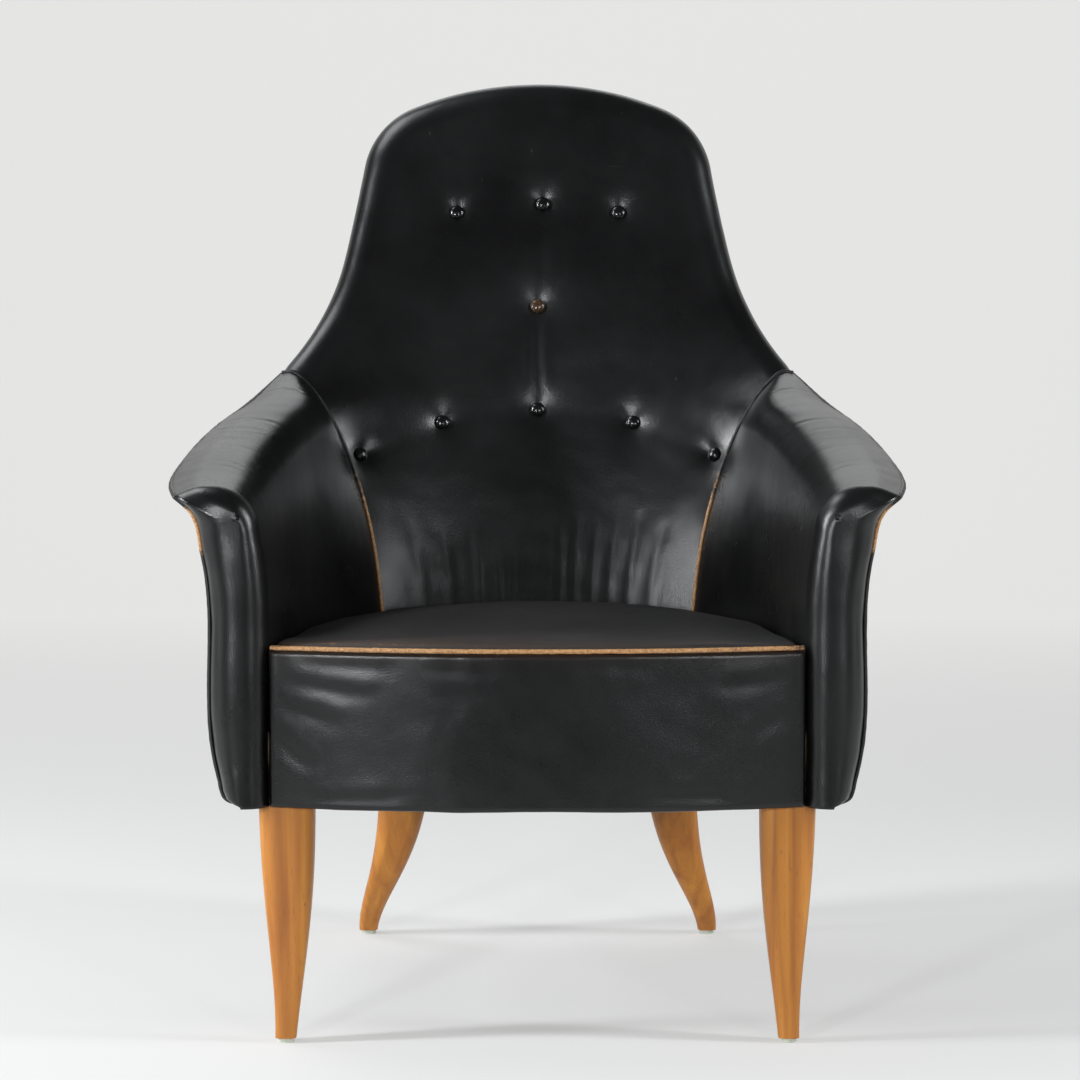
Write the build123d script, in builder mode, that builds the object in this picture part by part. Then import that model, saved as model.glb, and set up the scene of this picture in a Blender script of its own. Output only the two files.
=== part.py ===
from build123d import *
import os
from math import cos, hypot, radians, sin, sqrt, tan

os.makedirs("parts", exist_ok=True)

# A tall tight-upholstered easy chair. It faces -Y, stands on z = 0, and is alike left and right.
# Lengths are in millimetres. The origin is midway under its four feet's bounding box.

# Overall sizes
half_width = 384.0
height = 1020.0
half_depth = 400.0
underside = 251.0
seat_height = 420.0
seat_half_width = 276.0
seat_bow = 36.0

# Leather, padding and the clearances between them
leather = 1.6
soft_gap = 0.3
overrun = 30.0
welt_radius = 2.6
apron_padding = 8.0

# Wooden frame
rail_thickness = 28.0
rail_height = 75.0
post_thickness = 28.0
post_depth = 44.0
arm_rail_width = 40.0
arm_rail_thickness = 24.0
back_post_width = 44.0
back_post_thickness = 26.0
back_lean = 14.0
waist_rail_height = 50.0
dowel_radius = 4.0
dowel_length = 40.0

# Webbing
webbing_width = 50.0
webbing_thickness = 2.0

# Legs, bolts and glides
glide_radius = 8.5
glide_height = 5.0
bolt_radius = 4.0
bolt_length = 70.0
screw_radius = 2.0
screw_length = 35.0
screw_head_radius = 4.0
screw_head_height = 3.0
tack_radius = 0.8
tack_length = 11.0
tack_head_radius = 2.6
tack_head_height = 0.6
tack_inset = 8.0
dust_cover_thickness = 0.5
nail_radius = 1.5
nail_length = 16.0

# Buttons
button_radius = 8.5
button_thickness = 5.0
button_edge = 1.7
dimple_depth = 8.0
dimple_radius = 30.0
well_depth = 0.6
rim_width = 40.0
rear_seam_inset = 14.0
tie_radius = 0.9
toggle_length = 24.0
toggle_radius = 2.5

frame_bottom = underside + leather + 2 * soft_gap
seat_deck = frame_bottom + rail_height
pad_bottom = seat_deck + 2 * webbing_thickness + soft_gap

# The arm's cross-sections, from nose to rear seam. Each lies in an upright plane that passes through
# the seam's foot line at seam_foot_share of the half width. The plane's place is a share of the half
# depth, and its turn is in degrees. Points go round the section as shares of half width and height.
seam_foot_share = 0.471
arm_stations_share = [
    (-0.862, 0, [(0.721, 0.246), (0.721, 0.412), (0.724, 0.469), (0.740, 0.520), (0.758, 0.549),
                 (0.797, 0.565), (0.898, 0.573), (0.979, 0.563), (0.930, 0.545), (0.896, 0.502),
                 (0.857, 0.275), (0.839, 0.253), (0.781, 0.246)]),
    (-0.750, 0, [(0.719, 0.246), (0.719, 0.412), (0.721, 0.473), (0.734, 0.528), (0.755, 0.557),
                 (0.797, 0.572), (0.898, 0.580), (1.000, 0.569), (0.943, 0.551), (0.901, 0.505),
                 (0.862, 0.275), (0.844, 0.253), (0.786, 0.246)]),
    (-0.450, 0, [(0.698, 0.246), (0.698, 0.412), (0.698, 0.480), (0.711, 0.549), (0.732, 0.578),
                 (0.776, 0.594), (0.880, 0.602), (0.984, 0.592), (0.930, 0.574), (0.893, 0.520),
                 (0.867, 0.275), (0.849, 0.253), (0.789, 0.246)]),
    (-0.165, 3, [(0.646, 0.246), (0.646, 0.412), (0.648, 0.490), (0.661, 0.574), (0.682, 0.604),
                 (0.721, 0.619), (0.828, 0.627), (0.930, 0.617), (0.893, 0.593), (0.867, 0.539),
                 (0.854, 0.275), (0.836, 0.253), (0.776, 0.246)]),
    (0.050, 8, [(0.560, 0.246), (0.560, 0.412), (0.570, 0.505), (0.599, 0.588), (0.622, 0.620),
                (0.664, 0.638), (0.760, 0.647), (0.857, 0.638), (0.839, 0.613), (0.828, 0.564),
                (0.820, 0.275), (0.802, 0.253), (0.742, 0.246)]),
    (0.270, 14, [(0.464, 0.246), (0.471, 0.396), (0.514, 0.505), (0.578, 0.580), (0.630, 0.620),
                 (0.703, 0.655), (0.755, 0.666), (0.789, 0.661), (0.792, 0.627), (0.786, 0.588),
                 (0.781, 0.275), (0.760, 0.253), (0.703, 0.246)]),
]
panel_start_share = 0.25
nose_depth = 29.0
nose_centre_share = 0.797
nose_drop = 30.0
nose_turns = [30, 55, 75]

# The back's level sections: level as a share of the height, then the depth of the front face at the
# middle and at the side, and of the rear face at the middle and at the side, as shares of half depth.
back_side_share = 0.800
back_levels_share = [
    (0.240, 0.215, 0.190, 0.550, 0.375),
    (0.328, 0.260, 0.200, 0.592, 0.385),
    (0.398, 0.312, 0.195, 0.632, 0.410),
    (0.477, 0.372, 0.150, 0.675, 0.440),
    (0.564, 0.438, 0.140, 0.730, 0.475),
    (0.625, 0.484, 0.219, 0.770, 0.500),
    (0.668, 0.515, 0.340, 0.795, 0.530),
    (0.708, 0.545, 0.412, 0.818, 0.575),
    (0.750, 0.577, 0.482, 0.845, 0.640),
    (0.804, 0.617, 0.550, 0.875, 0.730),
    (0.863, 0.662, 0.625, 0.910, 0.820),
    (0.931, 0.713, 0.700, 0.952, 0.900),
    (1.000, 0.765, 0.760, 0.990, 0.955),
    (1.030, 0.787, 0.784, 1.003, 0.975),
]

# The back's outline seen from the front: tangent arcs from the top of the dome to the flare
dome_radius = 400.0
dome_turn = 21.9
shoulder_radius = 95.0
shoulder_turn = 58.1
waist_radius = 2100.0
waist_turn = 3.0
flare_radius = 293.0
flare_turn = 27.0
foot_radius = 45.0
front_roll = 28.0
rear_roll = 16.0

# The frame, as shares of half width (x), half depth (y) and height (z)
front_post_share = (0.797, -0.825)
side_rail_front_share = 0.812
side_rail_rear_share = (0.728, 0.390)
back_rail_half_share = 0.737
back_rail_rear_share = 0.545
back_rail_sag_share = 0.165
back_plane_share = 0.393
back_post_foot_share = 0.508
back_post_top_share = 0.417
crest_level_share = (0.888, 0.912, 0.975)
crest_half_share = 0.464
waist_rail_share = 0.672
arm_rail_share = [(0, 0.850, 0.535), (3, 0.785, 0.578), (5, 0.700, 0.606)]
arm_rail_end_share = 0.625
under_front_share = (0.760, -0.830)
under_rear_share = (0.700, 0.370)
front_block_share = [(0.800, -0.900), (0.800, -0.560), (0.450, -0.900)]
back_block_share = [(0.720, 0.375), (0.720, 0.120), (0.420, 0.460)]
under_rear_middle_share = [(0.500, 0.450), (0.000, 0.520)]
front_bolt_share = (0.672, -0.783)
back_bolt_share = (0.378, 0.468)
rail_screws_share = [(0.612, -0.795, 0, -1), (0.729, -0.675, 1, 0), (0.661, 0.250, 1, 0), (0.612, 0.315, 0, 1)]

# Webbing strips: x of the lengthwise ones, y of the crosswise ones, z of the back's
lengthwise_share = [-0.360, -0.180, 0.000, 0.180, 0.360]
crosswise_share = [-0.640, -0.380, -0.120, 0.140]
back_strips_share = [0.430, 0.495, 0.557, 0.611, 0.672, 0.735, 0.790, 0.849]

# The seat's cross-sections, from front to rear: place, height at the side and height at the middle,
# as shares of half depth and seat height
seat_reach_share = 0.860
seat_stations_share = [
    (-1.050, 0.996, 1.000),
    (-0.900, 0.998, 1.010),
    (-0.500, 0.951, 1.029),
    (-0.150, 0.931, 1.026),
    (0.100, 0.910, 1.010),
    (0.330, 0.910, 0.985),
]

# Legs from top to foot: level as a share of the leg's height, then the centre's x and y as
# shares of half width and half depth, and the width and depth as shares of the leg's width
leg_width = 58.0
leg_corner_share = 0.32
front_leg_share = [
    (1.000, 0.680, -0.818, 1.000, 0.940),
    (0.713, 0.678, -0.822, 0.922, 0.860),
    (0.459, 0.677, -0.830, 0.745, 0.700),
    (0.165, 0.680, -0.842, 0.479, 0.470),
    (0.000, 0.685, -0.848, 0.379, 0.379),
]
back_leg_share = [
    (1.000, 0.378, 0.445, 1.000, 0.940),
    (0.568, 0.426, 0.468, 0.914, 0.860),
    (0.310, 0.471, 0.512, 0.672, 0.660),
    (0.089, 0.521, 0.578, 0.448, 0.460),
    (0.000, 0.531, 0.608, 0.379, 0.379),
]

# Buttons: x and z as shares of half width and height, right half and middle
button_places_share = [
    (0.016, 0.861),
    (0.250, 0.851),
    (0.000, 0.742),
    (0.000, 0.623),
    (0.286, 0.610),
    (0.529, 0.576),
]


def save(part, node):
    part.label = node
    export_step(part, "parts/" + node + ".step")


def inset_outline(points, inset, blunt=False):
    """Moves each point of a closed outline inward. A blunt corner moves by the inset and no further."""
    count = len(points)
    area = sum(points[i - 1][0] * points[i][1] - points[i][0] * points[i - 1][1] for i in range(count))
    side = 1 if area > 0 else -1
    moved = []
    for i in range(count):
        before = points[i - 1]
        here = points[i]
        after = points[(i + 1) % count]
        first = (here[0] - before[0], here[1] - before[1])
        second = (after[0] - here[0], after[1] - here[1])
        first_length = hypot(*first)
        second_length = hypot(*second)
        normal = (
            -first[1] / first_length - second[1] / second_length,
            first[0] / first_length + second[0] / second_length,
        )
        length = hypot(*normal)
        unit = (normal[0] / length, normal[1] / length)
        across = (-first[1] * unit[0] + first[0] * unit[1]) / first_length
        shift = side * inset / (1 if blunt else max(across, 0.5))
        moved.append((here[0] + unit[0] * shift, here[1] + unit[1] * shift))
    return moved


def arm_plane(index, ahead):
    """The upright plane of an arm station, moved forward by ahead."""
    place, turn, _ = arm_stations_share[index]
    lean = tan(radians(turn))
    start = place * half_depth - lean * seam_foot_share * half_width - ahead
    return Plane(
        origin=(0, start, 0),
        x_dir=(cos(radians(turn)), sin(radians(turn)), 0),
        z_dir=(sin(radians(turn)), -cos(radians(turn)), 0),
    )


def arm_points(index, inset, blunt=False):
    _, turn, shares = arm_stations_share[index]
    points = [(x * half_width / cos(radians(turn)), z * height) for x, z in shares]
    points[0] = (points[0][0], underside)
    points[-1] = (points[-1][0], underside)
    return inset_outline(points, inset, blunt)


def arm_outline(points):
    """Draws an arm section's closed outline in the active line builder."""
    Line(points[0], points[1])
    ThreePointArc(points[1], points[2], points[3])
    ThreePointArc(points[3], points[4], points[5])
    ThreePointArc(points[5], points[6], points[7])
    ThreePointArc(points[7], points[8], points[9])
    Line(points[9], points[10])
    ThreePointArc(points[10], points[11], points[12])
    Line(points[12], points[0])


def panel_line(points):
    """Draws the outside panel's run on an arm section, from under the edge to the foot. Gives its ends."""
    flare = ThreePointArc(points[7], points[8], points[9], mode=Mode.PRIVATE)
    top = flare @ panel_start_share
    ThreePointArc(top, flare @ ((1 + panel_start_share) / 2), points[9])
    Line(points[9], points[10])
    ThreePointArc(points[10], points[11], points[12])
    return top, points[12]


def nose_points(inset, turn):
    """The nose's section, drawn in towards the nose's centre line and lowered at its top."""
    centre = nose_centre_share * half_width
    draw = cos(radians(turn))
    drop = nose_drop * (1 - draw)
    rise = arm_stations_share[0][2][6][1] * height - seat_height
    points = []
    for x, z in arm_points(0, inset):
        lowered = z - drop * max(z - seat_height, 0) / rise
        points.append((centre + (x - centre) * draw, lowered))
    return points


def arm_form(inset, rear_overrun):
    """The right arm's padded form. A negative inset makes it larger all round."""
    last = len(arm_stations_share) - 1
    with BuildPart() as form:
        for index in range(last + 1):
            with BuildSketch(arm_plane(index, 0)):
                with BuildLine():
                    arm_outline(arm_points(index, inset))
                make_face()
        loft()
        if rear_overrun:
            with BuildSketch(arm_plane(last, 0)):
                with BuildLine():
                    arm_outline(arm_points(last, inset))
                make_face()
            extrude(amount=-rear_overrun)
    with BuildPart() as nose:
        for turn in [0] + nose_turns:
            with BuildSketch(arm_plane(0, (nose_depth - inset) * sin(radians(turn)))):
                with BuildLine():
                    arm_outline(nose_points(inset, turn))
                make_face()
        loft()
    with BuildPart() as whole:
        add(form.part)
        add(nose.part)
    return whole.part


def level_outline(level, inset):
    """One level section of the back block: front face, side, rear face, side."""
    _, front_middle, front_side, rear_middle, rear_side = level
    side = back_side_share * half_width
    front_corner = front_side * half_depth + inset
    rear_corner = rear_side * half_depth - inset
    ThreePointArc((-side, front_corner), (0, front_middle * half_depth + inset), (side, front_corner))
    Line((side, front_corner), (side, rear_corner))
    ThreePointArc((side, rear_corner), (0, rear_middle * half_depth - inset), (-side, rear_corner))
    Line((-side, rear_corner), (-side, front_corner))


def front_outline(inset, bottom):
    """Draws the back's outline as seen from the front, drawn in by inset, and gives its right edges."""
    dome = JernArc((0, height - inset), (1, 0), dome_radius - inset, -dome_turn)
    shoulder = JernArc(dome @ 1, dome % 1, shoulder_radius - inset, -shoulder_turn)
    waist = JernArc(shoulder @ 1, shoulder % 1, waist_radius + inset, waist_turn)
    flare = JernArc(waist @ 1, waist % 1, flare_radius + inset, flare_turn)
    foot_turn = 90 - dome_turn - shoulder_turn + waist_turn + flare_turn
    foot = JernArc(flare @ 1, flare % 1, foot_radius - inset, -foot_turn)
    corner = ((foot @ 1).X, bottom)
    upright = Line(foot @ 1, corner)
    Line(corner, (0, bottom))
    mirror(about=Plane.YZ)
    return [dome, shoulder, waist, flare, foot, upright]


def seam_depth(x):
    """The depth of the upright plane that parts the right arm from the back, at x."""
    place, turn, _ = arm_stations_share[-1]
    return place * half_depth + tan(radians(turn)) * (x - seam_foot_share * half_width)


def back_form(inset, bottom):
    """The back's padded form with rolled edges, parted from the arms. A negative inset makes it larger."""
    with BuildPart() as block:
        for level in back_levels_share:
            with BuildSketch(Plane.XY.offset(level[0] * height)):
                with BuildLine():
                    level_outline(level, inset)
                make_face()
        loft()
    with BuildPart() as form:
        with BuildSketch(Plane.XZ):
            with BuildLine():
                front_outline(inset, bottom - overrun)
            make_face()
        extrude(amount=2 * half_depth, both=True)
        add(block.part, mode=Mode.INTERSECT)
        broad = form.faces().sort_by(SortBy.AREA)[-2:].sort_by(Axis.Y)
        lowest = form.edges().group_by(Axis.Z)[0]
        front_edges = [edge for edge in broad[0].edges() if edge not in lowest]
        rear_edges = [edge for edge in broad[-1].edges() if edge not in lowest]
        fillet(front_edges, front_roll - inset)
        fillet(rear_edges, rear_roll - inset)
        turn = arm_stations_share[-1][1]
        shift = (inset + soft_gap) / cos(radians(turn))
        with BuildSketch():
            with BuildLine():
                Polyline(
                    (0, seam_depth(0) + shift),
                    (2 * half_width, seam_depth(2 * half_width) + shift),
                    (2 * half_width, -2 * half_depth),
                    (-2 * half_width, -2 * half_depth),
                    (-2 * half_width, seam_depth(2 * half_width) + shift),
                    close=True,
                )
            make_face()
        extrude(amount=2 * height, mode=Mode.SUBTRACT)
        split(bisect_by=Plane.XY.offset(bottom), keep=Keep.TOP)
    return form.part


def surface_depth(x, z, middle_column=1):
    """The depth of the back's front face at x and z, or of its rear face with middle_column 3."""
    for low, high in zip(back_levels_share, back_levels_share[1:]):
        if z <= high[0] * height:
            break
    part_way = (z / height - low[0]) / (high[0] - low[0])
    middle, side = [
        (low[column] + (high[column] - low[column]) * part_way) * half_depth
        for column in (middle_column, middle_column + 1)
    ]
    sag = middle - side
    reach = back_side_share * half_width
    bend = (reach ** 2 + sag ** 2) / (2 * sag)
    return middle - bend + sqrt(bend ** 2 - x ** 2)


def button_plane(x, z):
    """The plane at the foot of a button's dimple, facing out of the leather."""
    step = button_radius
    slope_x = (surface_depth(x + step, z) - surface_depth(x - step, z)) / (2 * step)
    slope_z = (surface_depth(x, z + step) - surface_depth(x, z - step)) / (2 * step)
    surface = Plane(origin=(x, surface_depth(x, z), z), z_dir=(slope_x, -1, slope_z))
    return surface.offset(-dimple_depth)


def button_planes():
    places = []
    for x_share, z_share in button_places_share:
        places.append((x_share * half_width, z_share * height))
        if x_share > button_radius / half_width:
            places.append((-x_share * half_width, z_share * height))
    return [button_plane(x, z) for x, z in places]


def dimpled(form, inset):
    """The form with a sewn tuft drawn in at each button."""
    ball = (dimple_radius ** 2 + dimple_depth ** 2) / (2 * dimple_depth)
    with BuildPart() as tufted:
        add(form)
        places = button_planes()
        with Locations(*[place.offset(ball) for place in places]):
            Sphere(ball + inset, mode=Mode.SUBTRACT)
        with Locations(*[place.offset(-inset - well_depth) for place in places]):
            Cylinder(
                button_radius + 2 * soft_gap + inset,
                dimple_depth,
                align=(Align.CENTER, Align.CENTER, Align.MIN),
                mode=Mode.SUBTRACT,
            )
    return tufted.part


def both_sides(part, node):
    """Saves the right piece and its mirrored left twin."""
    with BuildPart() as twin:
        add(part)
        mirror(about=Plane.YZ, mode=Mode.REPLACE)
    save(part, node + "_right")
    save(twin.part, node + "_left")
    return twin.part


def bow_circle(inset):
    """The circle that the seat's bowed front follows: its centre's depth and its radius."""
    radius = (seat_half_width ** 2 + seat_bow ** 2) / (2 * seat_bow)
    return radius - half_depth, radius - inset


def seat_form(inset, bottom, front_inset):
    """The crowned seat between the arms and the back, each of them cleared by the inset."""
    centre, radius = bow_circle(front_inset)
    reach = seat_reach_share * half_width
    clear_arm = arm_form(-soft_gap - inset, overrun)
    with BuildPart() as form:
        for place, side, middle in seat_stations_share:
            with BuildSketch(Plane.XZ.offset(-place * half_depth)):
                with BuildLine():
                    edge = side * seat_height - inset
                    ThreePointArc((-reach, edge), (0, middle * seat_height - inset), (reach, edge))
                    Polyline((reach, edge), (reach, bottom), (-reach, bottom), (-reach, edge))
                make_face()
        loft()
        with BuildSketch():
            with Locations((0, centre)):
                Circle(radius)
            Rectangle(2 * (seat_half_width - inset), 4 * half_depth, mode=Mode.INTERSECT)
        extrude(amount=height, mode=Mode.INTERSECT)
        add(clear_arm, mode=Mode.SUBTRACT)
        add(clear_arm.mirror(Plane.YZ), mode=Mode.SUBTRACT)
        add(back_form(-soft_gap - inset, bottom - overrun), mode=Mode.SUBTRACT)
    return form.part


def bow_band(inset, thickness, reach, low, high):
    """A band of the given thickness that follows the seat's bowed front, inset from it."""
    centre, radius = bow_circle(inset)
    with BuildPart() as band:
        with BuildSketch(Plane.XY.offset(low)):
            with Locations((0, centre)):
                Circle(radius)
                Circle(radius - thickness, mode=Mode.SUBTRACT)
            with Locations((0, -half_depth)):
                Rectangle(2 * reach, 2 * half_depth, mode=Mode.INTERSECT)
        extrude(amount=high - low)
    return band.part


def leg_form(shares):
    """A leg with soft-cornered sections that follows its table from top to foot."""
    with BuildPart() as leg:
        for level, x, y, wide, deep in shares:
            z = glide_height + level * (frame_bottom - glide_height)
            with BuildSketch(Plane.XY.offset(z)):
                with Locations((x * half_width, y * half_depth)):
                    RectangleRounded(
                        wide * leg_width, deep * leg_width, leg_corner_share * deep * leg_width
                    )
        loft()
    return leg.part


def leg_clearance(shares):
    """The room that the leather leaves round a leg's top."""
    _, x, y, wide, deep = shares[0]
    with BuildPart() as room:
        with BuildSketch(Plane.XY.offset(underside - overrun)):
            with Locations((x * half_width, y * half_depth)):
                Rectangle(wide * leg_width + 2 * soft_gap, deep * leg_width + 2 * soft_gap)
        extrude(amount=frame_bottom - underside + overrun)
    return room.part


def welt(runs):
    """A round cord swept along its runs, each an arc of three points or a line of two."""
    with BuildPart() as cord:
        with BuildLine() as path:
            edges = [Line(*run) if len(run) == 2 else ThreePointArc(*run) for run in runs]
        with BuildSketch(Plane(origin=edges[0] @ 0, z_dir=edges[0] % 0)):
            Circle(welt_radius)
        sweep(path=path.wire())
    return cord.part


def on_section(index, inset, picks, ahead=0):
    """Points of an arm section in space."""
    plane = arm_plane(index, ahead)
    points = arm_points(index, inset, blunt=True)
    return [plane.from_local_coords(points[pick]) for pick in picks]


def inner_quads(top_share, from_station):
    """The hollow outboard of the padding: a loft of four-cornered sections from a station to the seam."""
    last = len(arm_stations_share) - 1
    with BuildPart() as hollow:
        for index in range(from_station, last + 1):
            points = arm_points(index, 0)
            inner = points[12][0]
            outer = points[7][0] + overrun
            top = underside + (points[7][1] - underside) * top_share
            ahead = -overrun if index == last else 0
            with BuildSketch(arm_plane(index, ahead)):
                Polygon(
                    (inner, underside - overrun),
                    (outer, underside - overrun),
                    (outer, top),
                    (inner, top),
                    align=None,
                )
        loft()
    return hollow.part


def under_region(low, high, widen=0):
    """The room inside the side rails between two levels, widened at its front and sides."""
    right = [
        (under_front_share[0] * half_width + widen, under_front_share[1] * half_depth - widen),
        (under_rear_share[0] * half_width + widen, under_rear_share[1] * half_depth),
    ]
    right += [(x * half_width, y * half_depth) for x, y in under_rear_middle_share]
    left = [(-x, y) for x, y in reversed(right[:-1])]
    with BuildPart() as room:
        with BuildSketch(Plane.XY.offset(low)):
            Polygon(*(right + left), align=None)
        extrude(amount=high - low)
    return room.part


def cut_all(part, others):
    """The part less each of the others."""
    with BuildPart() as cut:
        add(part)
        add(others, mode=Mode.SUBTRACT)
    return cut.part


# Wooden frame
bar_arm = arm_form(leather + 2 * soft_gap, 2 * overrun)
rail_inset = leather + 2 * soft_gap + apron_padding
post_x = front_post_share[0] * half_width
post_y = front_post_share[1] * half_depth
post_inner = post_x - post_thickness / 2
post_rear = post_y + post_depth / 2
back_plane = Plane(
    origin=(0, back_plane_share * half_depth, seat_deck),
    x_dir=(1, 0, 0),
    z_dir=(0, -cos(radians(back_lean)), sin(radians(back_lean))),
)


def climb(level_share):
    """How far up the leaning back plane a level lies."""
    return (level_share * height - seat_deck) / cos(radians(back_lean))


front_rail = bow_band(rail_inset, rail_thickness, post_inner, frame_bottom, seat_deck)

with BuildPart() as side_rail:
    front_x = side_rail_front_share * half_width
    rear_x = side_rail_rear_share[0] * half_width
    rear_y = side_rail_rear_share[1] * half_depth
    half_rail = rail_thickness / 2
    with BuildSketch(Plane.XY.offset(frame_bottom)):
        Polygon(
            (front_x - half_rail, post_rear),
            (front_x + half_rail, post_rear),
            (rear_x + half_rail, rear_y),
            (rear_x - half_rail, rear_y),
            align=None,
        )
    extrude(amount=rail_height + webbing_thickness)
    add(bar_arm, mode=Mode.INTERSECT)

with BuildPart() as back_rail:
    rear_middle = back_rail_rear_share * half_depth
    rail_reach = back_rail_half_share * half_width
    rail_sag = back_rail_sag_share * half_depth
    rail_radius = (rail_reach ** 2 + rail_sag ** 2) / (2 * rail_sag)
    with BuildSketch(Plane.XY.offset(frame_bottom)):
        with Locations((0, rear_middle - rail_radius)):
            Circle(rail_radius)
            Circle(rail_radius - rail_thickness, mode=Mode.SUBTRACT)
        with Locations((0, half_depth)):
            Rectangle(2 * rail_reach, 2 * half_depth, mode=Mode.INTERSECT)
    extrude(amount=rail_height)
    add(side_rail.part, mode=Mode.SUBTRACT)
    add(side_rail.part.mirror(Plane.YZ), mode=Mode.SUBTRACT)

back_rail_piece = back_rail.solids().sort_by(SortBy.VOLUME)[-1]

with BuildPart() as back_post:
    foot_x = back_post_foot_share * half_width
    top_x = back_post_top_share * half_width
    half_post = back_post_width / 2
    with BuildSketch(back_plane):
        Polygon(
            (foot_x - half_post, 0),
            (foot_x + half_post, 0),
            (top_x + half_post, climb(crest_level_share[0])),
            (top_x - half_post, climb(crest_level_share[0])),
            align=None,
        )
    extrude(amount=-back_post_thickness)
    split(bisect_by=Plane.XY.offset(seat_deck), keep=Keep.TOP)

with BuildPart() as crest_rail:
    crest_half = crest_half_share * half_width
    low, shoulder, top = [climb(level) for level in crest_level_share]
    with BuildSketch(back_plane):
        with BuildLine():
            ThreePointArc((-crest_half, shoulder), (0, top), (crest_half, shoulder))
            Polyline((crest_half, shoulder), (crest_half, low), (-crest_half, low), (-crest_half, shoulder))
        make_face()
    extrude(amount=-back_post_thickness)

with BuildPart() as waist_rail:
    waist_middle = climb(waist_rail_share)
    with BuildSketch(back_plane):
        with Locations((0, waist_middle)):
            Rectangle(2 * foot_x, waist_rail_height)
    extrude(amount=-back_post_thickness)
    add(back_post.part, mode=Mode.SUBTRACT)
    add(back_post.part.mirror(Plane.YZ), mode=Mode.SUBTRACT)
waist_rail_piece = waist_rail.solids().sort_by(SortBy.VOLUME)[-1]

with BuildPart() as arm_rail:
    for index, x, z in arm_rail_share:
        turn = arm_stations_share[index][1]
        with BuildSketch(arm_plane(index, 0)):
            with Locations((x * half_width / cos(radians(turn)), z * height)):
                Rectangle(arm_rail_width, arm_rail_thickness)
    end_climb = climb(arm_rail_end_share)
    end_share = end_climb / climb(crest_level_share[0])
    end_x = foot_x + (top_x - foot_x) * end_share
    end_point = back_plane.from_local_coords((end_x, end_climb, -back_post_thickness / 2))
    with BuildSketch(Plane(origin=end_point, x_dir=(0, 1, 0), z_dir=(-1, 0, 0))):
        Rectangle(back_post_thickness, arm_rail_thickness)
    loft()
    add(back_post.part, mode=Mode.SUBTRACT)
arm_rail_piece = arm_rail.solids().sort_by(SortBy.VOLUME)[-1]

with BuildPart() as arm_post:
    with BuildSketch(Plane.XY.offset(frame_bottom)):
        with Locations((post_x, post_y)):
            Rectangle(post_thickness, post_depth)
    extrude(amount=arm_rail_share[0][2] * height - frame_bottom)
    add(bar_arm, mode=Mode.INTERSECT)
    add(arm_rail_piece, mode=Mode.SUBTRACT)


def corner_block(shares, neighbours):
    """A block glued into a corner of the seat frame."""
    with BuildPart() as block:
        with BuildSketch(Plane.XY.offset(frame_bottom)):
            Polygon(*[(x * half_width, y * half_depth) for x, y in shares], align=None)
        extrude(amount=rail_height)
        add(neighbours, mode=Mode.SUBTRACT)
    return block.solids().sort_by(SortBy.VOLUME)[-1]


front_block = corner_block(front_block_share, [front_rail, arm_post.part, side_rail.part])
back_block = corner_block(back_block_share, [back_rail_piece, side_rail.part])

# Legs, their bolts, and the glides with their nails
front_leg = leg_form(front_leg_share)
back_leg = leg_form(back_leg_share)


def leg_hardware(leg_shares, bolt_share):
    """The bolt that holds a leg, its glide and the glide's nail, as three parts."""
    foot = (leg_shares[-1][1] * half_width, leg_shares[-1][2] * half_depth)
    with BuildPart() as bolt:
        with Locations((bolt_share[0] * half_width, bolt_share[1] * half_depth, frame_bottom)):
            Cylinder(bolt_radius, bolt_length)
    with BuildPart() as nail:
        with Locations((*foot, glide_height / 2)):
            Cylinder(nail_radius, nail_length, align=(Align.CENTER, Align.CENTER, Align.MIN))
    with BuildPart() as glide:
        with Locations(foot):
            Cylinder(glide_radius, glide_height, align=(Align.CENTER, Align.CENTER, Align.MIN))
        add(nail.part, mode=Mode.SUBTRACT)
    return bolt.part, nail.part, glide.part


front_bolt, front_nail, front_glide = leg_hardware(front_leg_share, front_bolt_share)
back_bolt, back_nail, back_glide = leg_hardware(back_leg_share, back_bolt_share)

# Dowels: two in each joint between front rail and post, side rail and back rail, crest and post
with BuildPart() as dowels:
    for level in (-1, 1):
        joint_z = frame_bottom + rail_height / 2 + level * rail_height / 4
        with Locations(
            Plane(origin=(post_inner, post_y, joint_z), z_dir=(1, 0, 0)),
            Plane(origin=(rear_x - half_rail, rear_y - rail_thickness / 2, joint_z), z_dir=(1, 0, 0)),
        ):
            Cylinder(dowel_radius, dowel_length)
        joint_x = top_x + level * back_post_width / 4
        joint = back_plane.from_local_coords((joint_x, climb(crest_level_share[0]), -back_post_thickness / 2))
        with Locations(Plane(origin=joint, z_dir=back_plane.y_dir)):
            Cylinder(dowel_radius, dowel_length)

# A countersunk wood screw and the hole that takes it, both along +Z with the shank's start at zero
with BuildPart() as screw:
    Cylinder(screw_radius, screw_length, align=(Align.CENTER, Align.CENTER, Align.MIN))
    Cylinder(screw_head_radius, screw_head_height, align=(Align.CENTER, Align.CENTER, Align.MAX))
with BuildPart() as screw_hole:
    add(screw.part)
    Cylinder(screw_head_radius, overrun * 2, align=(Align.CENTER, Align.CENTER, Align.MAX))

screw_planes = [
    Plane(
        origin=(x * half_width, y * half_depth, frame_bottom + rail_height / 2),
        z_dir=(toward_x, toward_y, 0),
    )
    for x, y, toward_x, toward_y in rail_screws_share
]
with BuildPart() as screws:
    with Locations(*screw_planes):
        add(screw.part)
with BuildPart() as screw_holes:
    with Locations(*screw_planes):
        add(screw_hole.part)

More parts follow.
